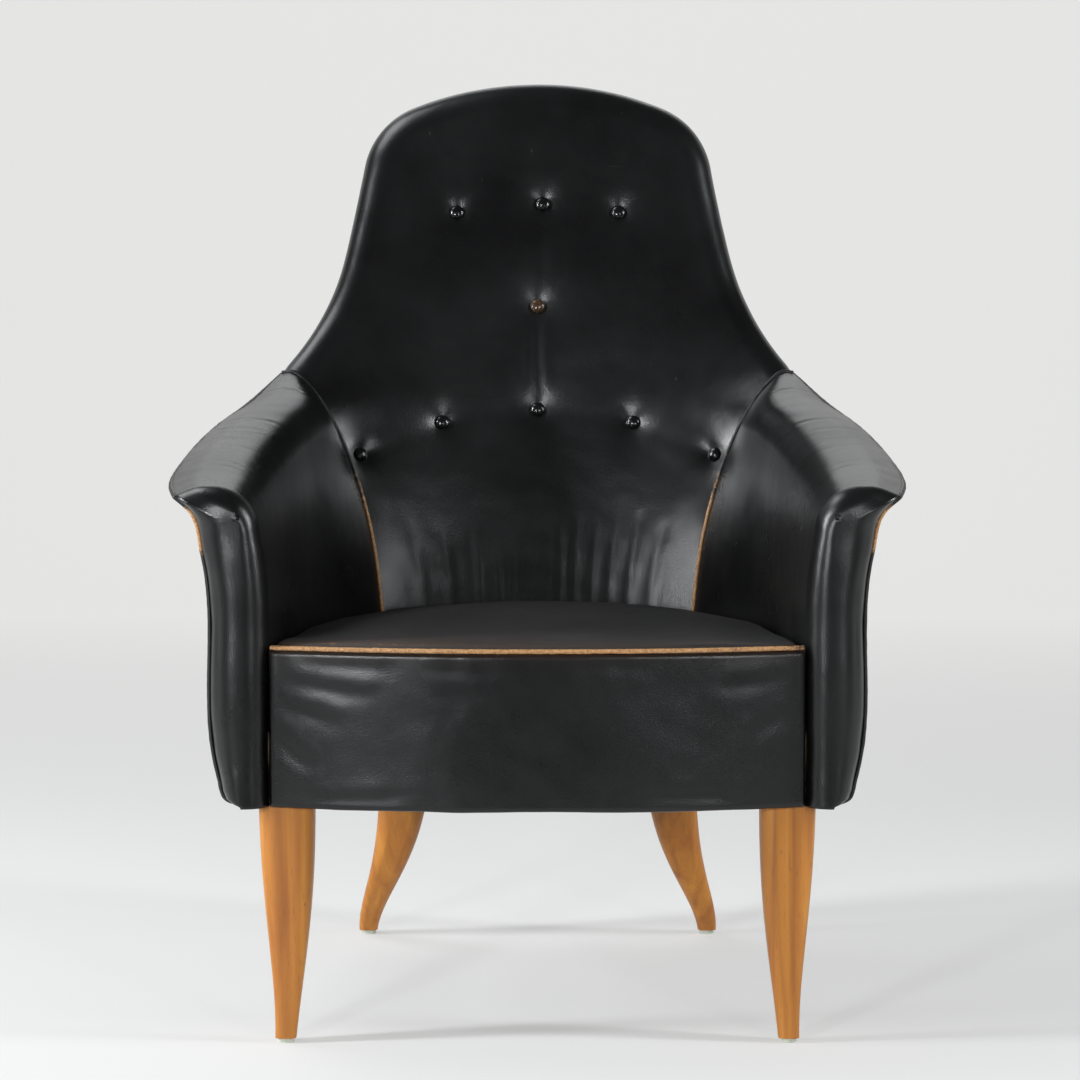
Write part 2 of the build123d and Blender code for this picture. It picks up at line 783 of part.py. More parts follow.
# Webbing strips and the tacks at their ends. A tack stands along -Z with its head above zero.
with BuildPart() as tack:
    Cylinder(tack_radius, tack_length, align=(Align.CENTER, Align.CENTER, Align.MAX))
    Cylinder(tack_head_radius, tack_head_height, align=(Align.CENTER, Align.CENTER, Align.MIN))

half_strip = webbing_width / 2
bow_centre, bow_radius = bow_circle(rail_inset)
tack_places = []
with BuildPart() as lengthwise_webbing:
    for share in lengthwise_share:
        middle_x = share * half_width
        widest = abs(middle_x) + half_strip
        start = bow_centre - sqrt(bow_radius ** 2 - widest ** 2)
        end = rear_middle - rail_radius + sqrt(rail_radius ** 2 - widest ** 2)
        with BuildSketch(Plane.XY.offset(seat_deck)):
            with Locations((middle_x, (start + end) / 2)):
                Rectangle(webbing_width, end - start)
        extrude(amount=webbing_thickness)
        for x in (middle_x - half_strip / 2, middle_x + half_strip / 2):
            for y in (start + 2 * tack_inset, end - tack_inset):
                tack_places.append(Plane(origin=(x, y, seat_deck + webbing_thickness)))

with BuildPart() as crosswise_webbing:
    for share in crosswise_share:
        middle_y = share * half_depth
        along = (middle_y - post_rear) / (rear_y - post_rear)
        reach = front_x + (rear_x - front_x) * along + tack_inset
        with BuildSketch(Plane.XY.offset(seat_deck + webbing_thickness)):
            with Locations((0, middle_y)):
                Rectangle(2 * reach, webbing_width)
        extrude(amount=webbing_thickness)
        for x in (-reach + tack_head_radius, reach - tack_head_radius):
            for y in (middle_y - half_strip / 2, middle_y + half_strip / 2):
                tack_places.append(Plane(origin=(x, y, seat_deck + 2 * webbing_thickness)))

with BuildPart() as back_webbing:
    for share in back_strips_share:
        middle = climb(share)
        at_post = foot_x + (top_x - foot_x) * middle / climb(crest_level_share[0])
        with BuildSketch(back_plane):
            with Locations((0, middle)):
                Rectangle(2 * at_post + back_post_width + 8 * toggle_radius, webbing_width)
        extrude(amount=webbing_thickness)
        for x in (-at_post, at_post):
            for y in (middle - half_strip / 2, middle + half_strip / 2):
                place = back_plane.from_local_coords((x, y, webbing_thickness))
                tack_places.append(Plane(origin=place, x_dir=back_plane.x_dir, z_dir=back_plane.z_dir))

with BuildPart() as tacks:
    with Locations(*tack_places):
        add(tack.part)

# Buttons, the ties that draw them in, and the toggles behind the webbing
with BuildPart() as button:
    button_rise = button_thickness - button_edge
    button_ball = (button_radius ** 2 + button_rise ** 2) / (2 * button_rise)
    Cylinder(button_radius, button_thickness, align=(Align.CENTER, Align.CENTER, Align.MIN))
    with Locations((0, 0, button_thickness - button_ball)):
        Sphere(button_ball, mode=Mode.INTERSECT)

with BuildPart() as buttons:
    with Locations(*[place.offset(soft_gap - well_depth) for place in button_planes()]):
        add(button.part)

tie_planes = []
tie_lengths = []
for place in button_planes():
    x, up, rise = back_plane.to_local_coords(place.origin)
    foot = back_plane.from_local_coords((x, up, 0))
    tie_planes.append(Plane(origin=foot, x_dir=back_plane.x_dir, z_dir=back_plane.z_dir))
    tie_lengths.append(rise - 2 * well_depth - soft_gap)

with BuildPart() as ties:
    for place, length in zip(tie_planes, tie_lengths):
        with Locations(place):
            Cylinder(tie_radius, length, align=(Align.CENTER, Align.CENTER, Align.MIN))
with BuildPart() as tie_holes:
    for place, length in zip(tie_planes, tie_lengths):
        with Locations(place):
            Cylinder(
                tie_radius + soft_gap, length + 2 * well_depth, align=(Align.CENTER, Align.CENTER, Align.MIN)
            )
with BuildPart() as toggles:
    for place in tie_planes:
        behind = place.offset(-toggle_radius).origin
        with Locations(Plane(origin=behind, x_dir=back_plane.x_dir, z_dir=back_plane.y_dir)):
            Cylinder(toggle_radius, toggle_length)


# Leather and padding of the back
pad_rear = back_plane.offset(webbing_thickness + tack_head_height + soft_gap)
front_bars = [front_rail, arm_post.part, front_block]
rear_bars = [side_rail.part, back_rail_piece, arm_rail_piece, back_block]
mirrored_bars = [bar.mirror(Plane.YZ) for bar in rear_bars]

with BuildPart() as rear_opening:
    with BuildSketch(Plane.XZ):
        with BuildLine():
            front_outline(rim_width, underside - overrun)
        make_face()
    extrude(amount=2 * half_depth, both=True)
    split(bisect_by=back_plane, keep=Keep.BOTTOM)

under_deck = under_region(underside - overrun, pad_bottom)

with BuildPart() as back_cover:
    add(dimpled(back_form(0, underside), 0))
    add(dimpled(back_form(leather, underside - overrun), leather), mode=Mode.SUBTRACT)
    add([rear_opening.part, under_deck, tie_holes.part, *rear_bars, *mirrored_bars], mode=Mode.SUBTRACT)

with BuildPart() as back_foam:
    add(dimpled(back_form(leather + soft_gap, pad_bottom), leather + soft_gap))
    split(bisect_by=pad_rear, keep=Keep.TOP)
    add([tie_holes.part, arm_rail_piece, arm_rail_piece.mirror(Plane.YZ)], mode=Mode.SUBTRACT)

with BuildPart() as rear_prism:
    with BuildSketch(Plane.XZ):
        with BuildLine():
            front_outline(rear_seam_inset, underside)
        make_face()
    extrude(amount=2 * half_depth, both=True)

with BuildPart() as outside_back:
    for level, _, _, rear_middle_share, rear_side_share in back_levels_share:
        with BuildSketch(Plane.XY.offset(level * height)):
            with BuildLine():
                reach = back_side_share * half_width
                near_middle = rear_middle_share * half_depth + soft_gap
                near_side = rear_side_share * half_depth + soft_gap
                ThreePointArc((-reach, near_side), (0, near_middle), (reach, near_side))
                Line((reach, near_side), (reach, near_side + leather))
                far_middle = (0, near_middle + leather)
                ThreePointArc((reach, near_side + leather), far_middle, (-reach, near_side + leather))
                Line((-reach, near_side + leather), (-reach, near_side))
            make_face()
    loft()
    add(rear_prism.part, mode=Mode.INTERSECT)

# Leather and padding of the right arm
hollow = inner_quads(0.86, 1)
front_room = leg_clearance(front_leg_share)
back_room = leg_clearance(back_leg_share)
with BuildPart() as arm_cover:
    add(arm_form(0, 0))
    add(arm_form(leather, overrun), mode=Mode.SUBTRACT)
    add([hollow, under_deck, front_room, *front_bars, *rear_bars], mode=Mode.SUBTRACT)

with BuildPart() as arm_foam:
    add(arm_form(leather + soft_gap, 0))
    add([hollow, under_deck, front_room, *front_bars, *rear_bars], mode=Mode.SUBTRACT)

with BuildPart() as outside_arm:
    for index in range(len(arm_stations_share)):
        with BuildSketch(arm_plane(index, 0)):
            with BuildLine():
                near_top, near_foot = panel_line(arm_points(index, -soft_gap))
                far_top, far_foot = panel_line(arm_points(index, -soft_gap - leather))
                Line(near_top, far_top)
                Line(near_foot, far_foot)
            make_face()
    loft()

# Leather and padding of the seat and its apron
welt_span = 2 * welt_radius + soft_gap
with BuildPart() as seat_cover:
    add(seat_form(0, pad_bottom, welt_span))
    add(seat_form(leather, pad_bottom - overrun, welt_span - overrun), mode=Mode.SUBTRACT)
seat_foam = seat_form(leather + soft_gap, pad_bottom, rail_inset)
apron_top = seat_height - welt_span
with BuildPart() as apron_cover:
    centre, radius = bow_circle(0)
    with BuildSketch(Plane.XY.offset(underside)):
        with Locations((0, centre)):
            Circle(radius)
        Rectangle(2 * seat_half_width, 4 * half_depth, mode=Mode.INTERSECT)
        with BuildSketch(mode=Mode.SUBTRACT):
            with Locations((0, centre)):
                Circle(radius - leather)
            Rectangle(2 * (seat_half_width - leather), 4 * half_depth, mode=Mode.INTERSECT)
        with Locations((0, centre)):
            Circle(radius - welt_span, mode=Mode.SUBTRACT)
        with Locations((0, -half_depth)):
            Rectangle(4 * half_width, 2 * half_depth, mode=Mode.INTERSECT)
    extrude(amount=apron_top - underside)
apron_reach = seat_half_width - leather - soft_gap
apron_padding_band = bow_band(
    leather + soft_gap, apron_padding, apron_reach, underside + leather, apron_top - soft_gap
)

# Dust cover under the frame
front_room_left = front_room.mirror(Plane.YZ)
back_room_left = back_room.mirror(Plane.YZ)
dust_cover = cut_all(
    under_region(frame_bottom - dust_cover_thickness, frame_bottom, half_rail),
    [front_room, back_room, front_room_left, back_room_left],
)

# Welts
off_surface = -welt_radius - soft_gap
seam = on_section(5, off_surface, [1, 2, 3, 4, 5, 6, 7])
seam_welt = welt([seam[0:3], seam[2:5], seam[4:7]])
edge = [on_section(index, off_surface, [7])[0] for index in (5, 4, 3, 2, 1)]
nose_edge = on_section(0, off_surface, [7, 8, 9, 10, 11, 12], welt_radius + soft_gap)
arm_edge_welt = welt(
    [edge[0:3], edge[2:5], [edge[4], nose_edge[0]], nose_edge[0:3], nose_edge[2:4], nose_edge[3:6]]
)
welt_x = seat_half_width - welt_radius
welt_centre, welt_bow = bow_circle(welt_radius)
welt_z = seat_height - welt_radius
welt_end_y = welt_centre - sqrt(welt_bow ** 2 - welt_x ** 2)
seat_welt = welt(
    [[(-welt_x, welt_end_y, welt_z), (0, welt_centre - welt_bow, welt_z), (welt_x, welt_end_y, welt_z)]]
)

with BuildLine(Plane.XZ) as rear_line:
    rear_edges = front_outline(rear_seam_inset - welt_radius - soft_gap, underside)
right_runs = []
for rear_edge in rear_edges:
    spots = [rear_edge @ along for along in (0, 0.5, 1)]
    right_runs.append(
        [(spot.X, surface_depth(spot.X, spot.Z, 3) + welt_radius + soft_gap, spot.Z) for spot in spots]
    )
left_runs = [[(-x, y, z) for x, y, z in reversed(run)] for run in reversed(right_runs)]
back_edge_welt = welt(left_runs + right_runs)

# What passes through each bar is cut from it
with BuildPart() as both_dowels:
    add(dowels.part)
    mirror(about=Plane.YZ)
with BuildPart() as both_screws:
    add(screws.part)
    mirror(about=Plane.YZ)
with BuildPart() as both_bolts:
    add(front_bolt)
    add(back_bolt)
    mirror(about=Plane.YZ)
with BuildPart() as both_nails:
    add(front_nail)
    add(back_nail)
    mirror(about=Plane.YZ)
with BuildPart() as both_glides:
    add(front_glide)
    add(back_glide)
    mirror(about=Plane.YZ)
with BuildPart() as both_blocks:
    add(cut_all(front_block, [screw_holes.part, front_bolt]))
    add(cut_all(back_block, [screw_holes.part, back_bolt]))
    mirror(about=Plane.YZ)

through = [both_dowels.part, both_screws.part, both_bolts.part, tacks.part]
save(cut_all(front_rail, through), "front_rail")
save(cut_all(back_rail_piece, through), "back_rail")
save(cut_all(crest_rail.part, through), "crest_rail")
save(cut_all(waist_rail_piece, [tacks.part]), "waist_rail")
both_sides(cut_all(side_rail.part, through), "side_rail")
both_sides(cut_all(arm_post.part, through), "arm_post")
both_sides(arm_rail_piece, "arm_rail")
both_sides(cut_all(back_post.part, through), "back_post")
save(both_blocks.part, "corner_blocks")
save(both_dowels.part, "frame_dowels")
save(both_screws.part, "block_screws")

both_sides(cut_all(front_leg, [front_bolt, front_nail]), "leg_front")
both_sides(cut_all(back_leg, [back_bolt, back_nail]), "leg_back")
save(both_bolts.part, "leg_bolts")
save(both_glides.part, "foot_glides")
save(both_nails.part, "glide_nails")

save(cut_all(lengthwise_webbing.part, [tacks.part]), "seat_webbing_lengthwise")
save(cut_all(crosswise_webbing.part, [tacks.part]), "seat_webbing_crosswise")
arm_rails = [arm_rail_piece, arm_rail_piece.mirror(Plane.YZ)]
save(cut_all(back_webbing.part, [tacks.part, ties.part, *arm_rails]), "back_webbing")
save(tacks.part, "webbing_tacks")

save(seat_foam, "seat_foam")
save(apron_padding_band, "apron_padding")
save(back_foam.part, "back_foam")
both_sides(cut_all(arm_foam.part, [dust_cover, crosswise_webbing.part, tacks.part]), "arm_foam")

save(seat_cover.part, "seat_cover")
save(apron_cover.part, "apron_cover")
save(back_cover.part, "back_cover")
both_sides(arm_cover.part, "arm_cover")
both_sides(outside_arm.part, "outside_arm")
save(outside_back.part, "outside_back")
save(dust_cover, "dust_cover")

save(seat_welt, "seat_front_welt")
both_sides(seam_welt, "seam_welt")
both_sides(arm_edge_welt, "arm_edge_welt")
save(back_edge_welt, "back_edge_welt")
save(buttons.part, "back_buttons")
save(ties.part, "button_ties")
save(toggles.part, "tie_toggles")
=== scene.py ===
import math
import random

import bpy
import numpy as np
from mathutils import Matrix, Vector, noise


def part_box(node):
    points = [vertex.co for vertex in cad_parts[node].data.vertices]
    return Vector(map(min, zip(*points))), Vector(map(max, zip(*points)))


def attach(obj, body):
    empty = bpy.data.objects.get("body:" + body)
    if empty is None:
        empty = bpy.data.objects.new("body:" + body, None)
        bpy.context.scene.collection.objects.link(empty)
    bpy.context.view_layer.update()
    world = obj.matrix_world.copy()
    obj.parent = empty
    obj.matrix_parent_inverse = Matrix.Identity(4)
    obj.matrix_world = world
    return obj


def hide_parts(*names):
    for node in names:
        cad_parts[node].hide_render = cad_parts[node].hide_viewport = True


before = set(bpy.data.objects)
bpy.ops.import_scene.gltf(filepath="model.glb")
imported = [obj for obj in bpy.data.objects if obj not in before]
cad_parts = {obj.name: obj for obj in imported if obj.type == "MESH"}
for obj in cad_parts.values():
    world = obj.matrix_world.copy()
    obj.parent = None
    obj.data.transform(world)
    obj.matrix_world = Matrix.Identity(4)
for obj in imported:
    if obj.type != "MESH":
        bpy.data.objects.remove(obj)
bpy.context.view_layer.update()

print("frame loaded", len(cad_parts), "nodes")

# The chair's main sizes, in metres. It faces -Y and stands on z = 0.
chair = {
    "halfWidth": 0.384,
    "halfDepth": 0.400,
    "height": 1.020,
    "underside": 0.251,
    "seatHeight": 0.420,
    "leather": 0.0016,
}


# Curves

def follow(keys, values, at):  # smooth values between keys
    keys = np.asarray(keys, float)
    values = np.asarray(values, float)
    slopes = np.gradient(values, keys, axis=0)
    at = np.clip(np.asarray(at, float), keys[0], keys[-1])
    low = np.clip(np.searchsorted(keys, at, side="right") - 1, 0, len(keys) - 2)
    width = keys[low + 1] - keys[low]
    t = (at - keys[low]) / width
    shape = (len(at),) + (1,) * (values.ndim - 1)
    t = t.reshape(shape)
    width = width.reshape(shape)
    return (
        values[low] * (2 * t ** 3 - 3 * t ** 2 + 1)
        + values[low + 1] * (3 * t ** 2 - 2 * t ** 3)
        + slopes[low] * width * (t ** 3 - 2 * t ** 2 + t)
        + slopes[low + 1] * width * (t ** 3 - t ** 2)
    )


# Mesh steps

def onlyThis(piece):
    bpy.ops.object.select_all(action="DESELECT")
    piece.select_set(True)
    bpy.context.view_layer.objects.active = piece


def coordinates(piece):
    co = np.empty(len(piece.data.vertices) * 3)
    piece.data.vertices.foreach_get("co", co)
    return co.reshape(-1, 3)


def setCoordinates(piece, co):
    piece.data.vertices.foreach_set("co", np.ravel(co))
    piece.data.update()


def normalsOf(piece):
    normals = np.empty(len(piece.data.vertices) * 3)
    piece.data.vertices.foreach_get("normal", normals)
    return normals.reshape(-1, 3)


def edit(piece, *steps):
    onlyThis(piece)
    bpy.ops.object.mode_set(mode="EDIT")
    bpy.ops.mesh.select_all(action="SELECT")
    for step in steps:
        step()
    bpy.ops.object.mode_set(mode="OBJECT")


def pickOpenEdges():
    bpy.ops.mesh.select_all(action="DESELECT")
    bpy.ops.mesh.select_non_manifold()


def fillPicked():
    bpy.ops.mesh.edge_face_add()
    bpy.ops.mesh.select_all(action="SELECT")
    bpy.ops.mesh.normals_make_consistent(inside=False)


def turnOutward(piece, inside):  # faces look away from the inside point
    edit(piece, lambda: bpy.ops.mesh.remove_doubles(threshold=0.0001),
         lambda: bpy.ops.mesh.normals_make_consistent(inside=False))
    mesh = piece.data
    facing = sum((face.center - Vector(inside)).dot(face.normal) * face.area for face in mesh.polygons)
    if facing < 0:
        edit(piece, lambda: bpy.ops.mesh.flip_normals())


def gridPiece(name, columns, rows, place, keep=None):
    bpy.ops.object.select_all(action="DESELECT")
    bpy.ops.mesh.primitive_grid_add(x_subdivisions=columns, y_subdivisions=rows, size=1)
    piece = bpy.context.active_object
    piece.name = name
    piece.data.name = name
    co = coordinates(piece)
    across, along = co[:, 0] + 0.5, co[:, 1] + 0.5
    setCoordinates(piece, place(across, along))
    if keep is not None:  # faces with a corner that isn't kept go
        kept = keep(across, along)
        bpy.ops.object.mode_set(mode="EDIT")
        bpy.ops.mesh.select_all(action="DESELECT")
        bpy.ops.mesh.select_mode(type="FACE")
        bpy.ops.object.mode_set(mode="OBJECT")
        for face in piece.data.polygons:
            face.select = not all(kept[index] for index in face.vertices)
        bpy.ops.object.mode_set(mode="EDIT")
        bpy.ops.mesh.delete(type="FACE")
        bpy.ops.mesh.select_mode(type="VERT")
        bpy.ops.object.mode_set(mode="OBJECT")
    return piece


def thicken(piece, wall):
    onlyThis(piece)
    modifier = piece.modifiers.new("wall", "SOLIDIFY")
    modifier.thickness = wall
    modifier.offset = -1
    bpy.ops.object.modifier_apply(modifier=modifier.name)


def smooth(piece):
    onlyThis(piece)
    bpy.ops.object.shade_smooth()


def mirrored(piece, name):
    twin = piece.copy()
    twin.data = piece.data.copy()
    twin.name = name
    twin.data.name = name
    bpy.context.scene.collection.objects.link(twin)
    co = coordinates(twin)
    co[:, 0] = -co[:, 0]
    setCoordinates(twin, co)
    edit(twin, lambda: bpy.ops.mesh.flip_normals())
    return twin


crease = {"fade": 0.7, "lip": 0.45, "lipPlace": 1.9, "lipWidth": 1.1}


def creases(flat, lines):  # depth of folds on a flat coordinate: start, end, bow, depth, width
    total = np.zeros(len(flat))
    for start, end, bow, depth, width in lines:
        start, end = np.array(start), np.array(end)
        run = end - start
        length = np.linalg.norm(run)
        t = ((flat - start) @ run) / length ** 2
        side = ((flat[:, 0] - start[0]) * run[1] - (flat[:, 1] - start[1]) * run[0]) / length
        side = side - bow * 4 * t * (1 - t)
        fade = np.where((t > 0) & (t < 1), np.sin(np.pi * np.clip(t, 0, 1)) ** crease["fade"], 0)
        groove = -np.exp(-(side / width) ** 2)
        beyond = (np.abs(side) - crease["lipPlace"] * width) / (crease["lipWidth"] * width)
        lips = crease["lip"] * np.exp(-beyond ** 2)
        total += depth * fade * (groove + lips)
    return total


def softNoise(co, size, seed):
    shift = Vector((seed, seed * 2, seed * 3))
    return np.array([noise.noise(Vector(point) / size + shift) for point in co])


def uneven(co, layers):  # depth, size and seed of each layer
    return sum(depth * softNoise(co, size, seed) for depth, size, seed in layers)


def push(piece, amount):
    setCoordinates(piece, coordinates(piece) + normalsOf(piece) * amount[:, None])


def setWear(piece, values=0.0):  # 0 is sound leather, 1 is worn through to its tan
    wear = piece.data.attributes.get("wear") or piece.data.attributes.new("wear", "FLOAT", "POINT")
    spread = np.broadcast_to(np.clip(values, 0, 1), len(piece.data.vertices))
    wear.data.foreach_set("value", spread.astype(np.float32))


def finishPiece(piece, material, nodes):
    piece.data.materials.append(material)
    smooth(piece)
    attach(piece, "root")
    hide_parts(*nodes)


# Materials
colours = {
    "hide": (0.0022, 0.0022, 0.0024),
    "hideLight": (0.0060, 0.0060, 0.0063),
    "scuff": (0.11, 0.10, 0.095),
    "tan": (0.42, 0.20, 0.085),
    "brown": (0.12, 0.06, 0.030),
    "pipingDark": (0.27, 0.125, 0.045),
    "pipingLight": (0.60, 0.34, 0.15),
    "woodLight": (0.53, 0.215, 0.027),
    "woodMiddle": (0.44, 0.162, 0.019),
    "woodDark": (0.31, 0.098, 0.012),
    "woodPore": (0.12, 0.04, 0.012),
    "woodNick": (0.07, 0.025, 0.01),
    "glide": (0.58, 0.62, 0.53),
}


def newMaterial(name):
    material = bpy.data.materials.new(name)
    material.use_nodes = True
    tree = material.node_tree
    tree.nodes.clear()
    shader = tree.nodes.new("ShaderNodeBsdfPrincipled")
    output = tree.nodes.new("ShaderNodeOutputMaterial")
    tree.links.new(shader.outputs[0], output.inputs[0])
    return material, tree, shader


def put(tree, socket, value):  # links an output to the socket, or sets the socket's own value
    if isinstance(value, bpy.types.NodeSocket):
        tree.links.new(value, socket)
    elif socket.type == "RGBA":
        socket.default_value = (*value, 1)
    else:
        socket.default_value = value


def node(tree, kind, **settings):
    made = tree.nodes.new("ShaderNode" + kind)
    for name, value in settings.items():
        if hasattr(made, name):
            setattr(made, name, value)
        else:
            put(tree, made.inputs[name], value)
    return made


def mapped(tree, scale=(1, 1, 1), rotation=(0, 0, 0)):
    place = node(tree, "TexCoord").outputs["Object"]
    return node(tree, "Mapping", Scale=scale, Rotation=rotation, Vector=place).outputs[0]


def noiseOn(tree, vector, size, detail, rough, distortion=0.0):
    return node(tree, "TexNoise", Scale=size, Detail=detail, Roughness=rough, Distortion=distortion,
                Vector=vector).outputs["Fac"]


def ramp(tree, factor, *stops):
    made = tree.nodes.new("ShaderNodeValToRGB")
    elements = made.color_ramp.elements
    while len(elements) < len(stops):
        elements.new(0.5)
    for element, (position, colour) in zip(elements, stops):
        element.position = position
        element.color = (*colour, 1)
    tree.links.new(factor, made.inputs[0])
    return made.outputs[0]


def between(tree, factor, low, high):  # black below low, white above high
    return ramp(tree, factor, (low, (0, 0, 0)), (high, (1, 1, 1)))


def mix(tree, factor, first, second):
    made = node(tree, "Mix", data_type="RGBA")
    for index, value in ((0, factor), (6, first), (7, second)):
        put(tree, made.inputs[index], value)
    return made.outputs[2]


def maths(tree, operation, first, second, clamp=False):
    made = node(tree, "Math", operation=operation, use_clamp=clamp)
    put(tree, made.inputs[0], first)
    put(tree, made.inputs[1], second)
    return made.outputs[0]


def bump(tree, shader, *layers):  # height, distance, strength
    last = None
    for height, distance, strength in layers:
        made = node(tree, "Bump", Strength=strength, Distance=distance, Height=height)
        if last is not None:
            tree.links.new(last, made.inputs["Normal"])
        last = made.outputs[0]
    tree.links.new(last, shader.inputs["Normal"])


def wearOn(tree):
    return node(tree, "Attribute", attribute_name="wear").outputs["Fac"]


hideLook = {
    "patches": (7, 4, 0.55),  # size, detail and roughness of each noise
    "speckle": (240, 3, 0.6),
    "pores": (900, 2, 0.5),
    "rolling": (60, 3, 0.5),
    "scuffed": (5.0, 2, 0.5),
    "grainSize": 820,
    "scratchNoise": (1, 3, 0.55),
    "scratches": (  # stretch, turn, and the steps of each direction
        ((160, 160, 9), (0.35, 0.9, 0.2), 0.73, 0.78),
        ((9, 150, 150), (0.2, 0.55, 0.9), 0.74, 0.79),
    ),
    "scuffShare": 0.25,
    "speckleWear": 0.42,
    "brownShare": 0.5,
    "patchGloss": 0.16,
    "glossBase": -0.08,
    "specular": 0.45,
}


def hideMaterial(name, roughness, lift=0.0):  # lift raises the base colour to a paler grey
    material, tree, shader = newMaterial(name)
    plain = mapped(tree)
    patches, speckle, pores, rolling, scuffed = (
        noiseOn(tree, plain, *hideLook[key]) for key in ("patches", "speckle", "pores", "rolling", "scuffed"))
    grain = node(tree, "TexVoronoi", feature="F1", Scale=hideLook["grainSize"], Vector=plain)
    scuffs = maths(tree, "ADD", *(
        between(tree, noiseOn(tree, mapped(tree, stretch, turn), *hideLook["scratchNoise"]), low, high)
        for stretch, turn, low, high in hideLook["scratches"]), clamp=True)
    scuffs = maths(tree, "MULTIPLY", scuffs, between(tree, scuffed, 0.50, 0.62))
    base = mix(tree, between(tree, patches, 0.35, 0.7), *(
        tuple(value + lift for value in colours[key]) for key in ("hide", "hideLight")))
    base = mix(tree, maths(tree, "MULTIPLY", scuffs, hideLook["scuffShare"]), base, colours["scuff"])
    wear = wearOn(tree)
    rubbed = maths(tree, "ADD", speckle, maths(tree, "MULTIPLY", wear, hideLook["speckleWear"]))
    rubbed = maths(tree, "MULTIPLY", between(tree, rubbed, 0.80, 0.90), wear, clamp=True)
    base = mix(tree, maths(tree, "MULTIPLY", wear, hideLook["brownShare"]), base, colours["brown"])
    put(tree, shader.inputs["Base Color"], mix(tree, rubbed, base, colours["tan"]))
    rough = maths(tree, "MULTIPLY", patches, hideLook["patchGloss"])
    put(tree, shader.inputs["Roughness"], maths(tree, "ADD", rough, roughness + hideLook["glossBase"]))
    put(tree, shader.inputs["Specular IOR Level"], hideLook["specular"])
    bump(tree, shader, (rolling, 0.0008, 0.25), (grain.outputs["Distance"], 0.0003, 0.30),
         (pores, 0.0002, 0.20))
    return material


def weltMaterial():  # black where the wear is low, patchy tan where it is high
    material, tree, shader = newMaterial("wornPiping")
    plain = mapped(tree)
    blotch = noiseOn(tree, plain, 90, 4, 0.65)
    fine = noiseOn(tree, plain, 420, 3, 0.6)
    level = maths(tree, "ADD", maths(tree, "MULTIPLY", blotch, 0.55), maths(tree, "MULTIPLY", fine, 0.25))
    level = maths(tree, "ADD", level, maths(tree, "SUBTRACT", wearOn(tree), 0.5))
    tan = mix(tree, between(tree, fine, 0.35, 0.7), colours["pipingDark"], colours["pipingLight"])
    put(tree, shader.inputs["Base Color"], mix(tree, between(tree, level, 0.44, 0.60), colours["hide"], tan))
    put(tree, shader.inputs["Roughness"], 0.5)
    bump(tree, shader, (blotch, 0.0006, 0.4), (fine, 0.0003, 0.4))
    return material


def woodMaterial():  # grain runs up the legs, with pores, small dents and dark nicks
    material, tree, shader = newMaterial("honeyWood")
    rings = noiseOn(tree, mapped(tree, (1, 1, 0.055)), 55, 4, 0.5, 0.6)
    fibre = noiseOn(tree, mapped(tree, (1, 1, 0.03)), 420, 3, 0.6)
    pores = noiseOn(tree, mapped(tree, (1, 1, 0.045)), 900, 2, 0.5)
    dents = node(tree, "TexVoronoi", feature="F1", Scale=58, Vector=mapped(tree, (1, 1, 0.6)))
    spread = noiseOn(tree, mapped(tree), 21, 2, 0.5)
    nicks = ramp(tree, dents.outputs["Distance"], (0.06, (1, 1, 1)), (0.12, (0, 0, 0)))
    nicks = maths(tree, "MULTIPLY", nicks, between(tree, spread, 0.56, 0.62))
    base = ramp(tree, rings, (0.30, colours["woodDark"]), (0.52, colours["woodMiddle"]),
                (0.72, colours["woodLight"]))
    for mask, share, colour in (
        (between(tree, fibre, 0.55, 0.75), 0.45, "woodDark"),
        (between(tree, pores, 0.66, 0.74), 0.6, "woodPore"),
        (nicks, 0.8, "woodNick"),
    ):
        base = mix(tree, maths(tree, "MULTIPLY", mask, share), base, colours[colour])
    put(tree, shader.inputs["Base Color"], base)
    put(tree, shader.inputs["Roughness"], maths(tree, "ADD", maths(tree, "MULTIPLY", fibre, 0.25), 0.28))
    bump(tree, shader, (pores, 0.0002, 0.25), (nicks, 0.0006, 0.5))
    return material


def plainMaterial(name, colour, second, size, roughness, metal=0.0, scale=(1, 1, 1), depth=0.0004):
    material, tree, shader = newMaterial(name)
    pattern = noiseOn(tree, mapped(tree, scale), size, 4, 0.6)
    put(tree, shader.inputs["Base Color"], mix(tree, between(tree, pattern, 0.3, 0.7), colour, second))
    put(tree, shader.inputs["Roughness"], roughness)
    put(tree, shader.inputs["Metallic"], metal)
    bump(tree, shader, (pattern, depth, 0.5))
    return material


def wovenMaterial(name, colour, second, pitch):  # pitch is the distance of the threads
    material, tree, shader = newMaterial(name)
    plain = mapped(tree)
    waves = [node(tree, "TexWave", wave_type="BANDS", bands_direction=direction, Scale=1 / pitch / 3.2,
                  Distortion=0.3, Vector=plain).outputs["Fac"] for direction in "XYZ"]
    weave = maths(tree, "MULTIPLY", maths(tree, "ADD", waves[0], waves[1]), waves[2])
    fuzz = maths(tree, "MULTIPLY", noiseOn(tree, plain, 300, 3, 0.6), 0.4)
    shade = maths(tree, "ADD", maths(tree, "MULTIPLY", weave, 0.5), fuzz)
    put(tree, shader.inputs["Base Color"], mix(tree, shade, colour, second))
    put(tree, shader.inputs["Roughness"], 0.9)
    bump(tree, shader, (weave, 0.0006, 0.6))
    return material


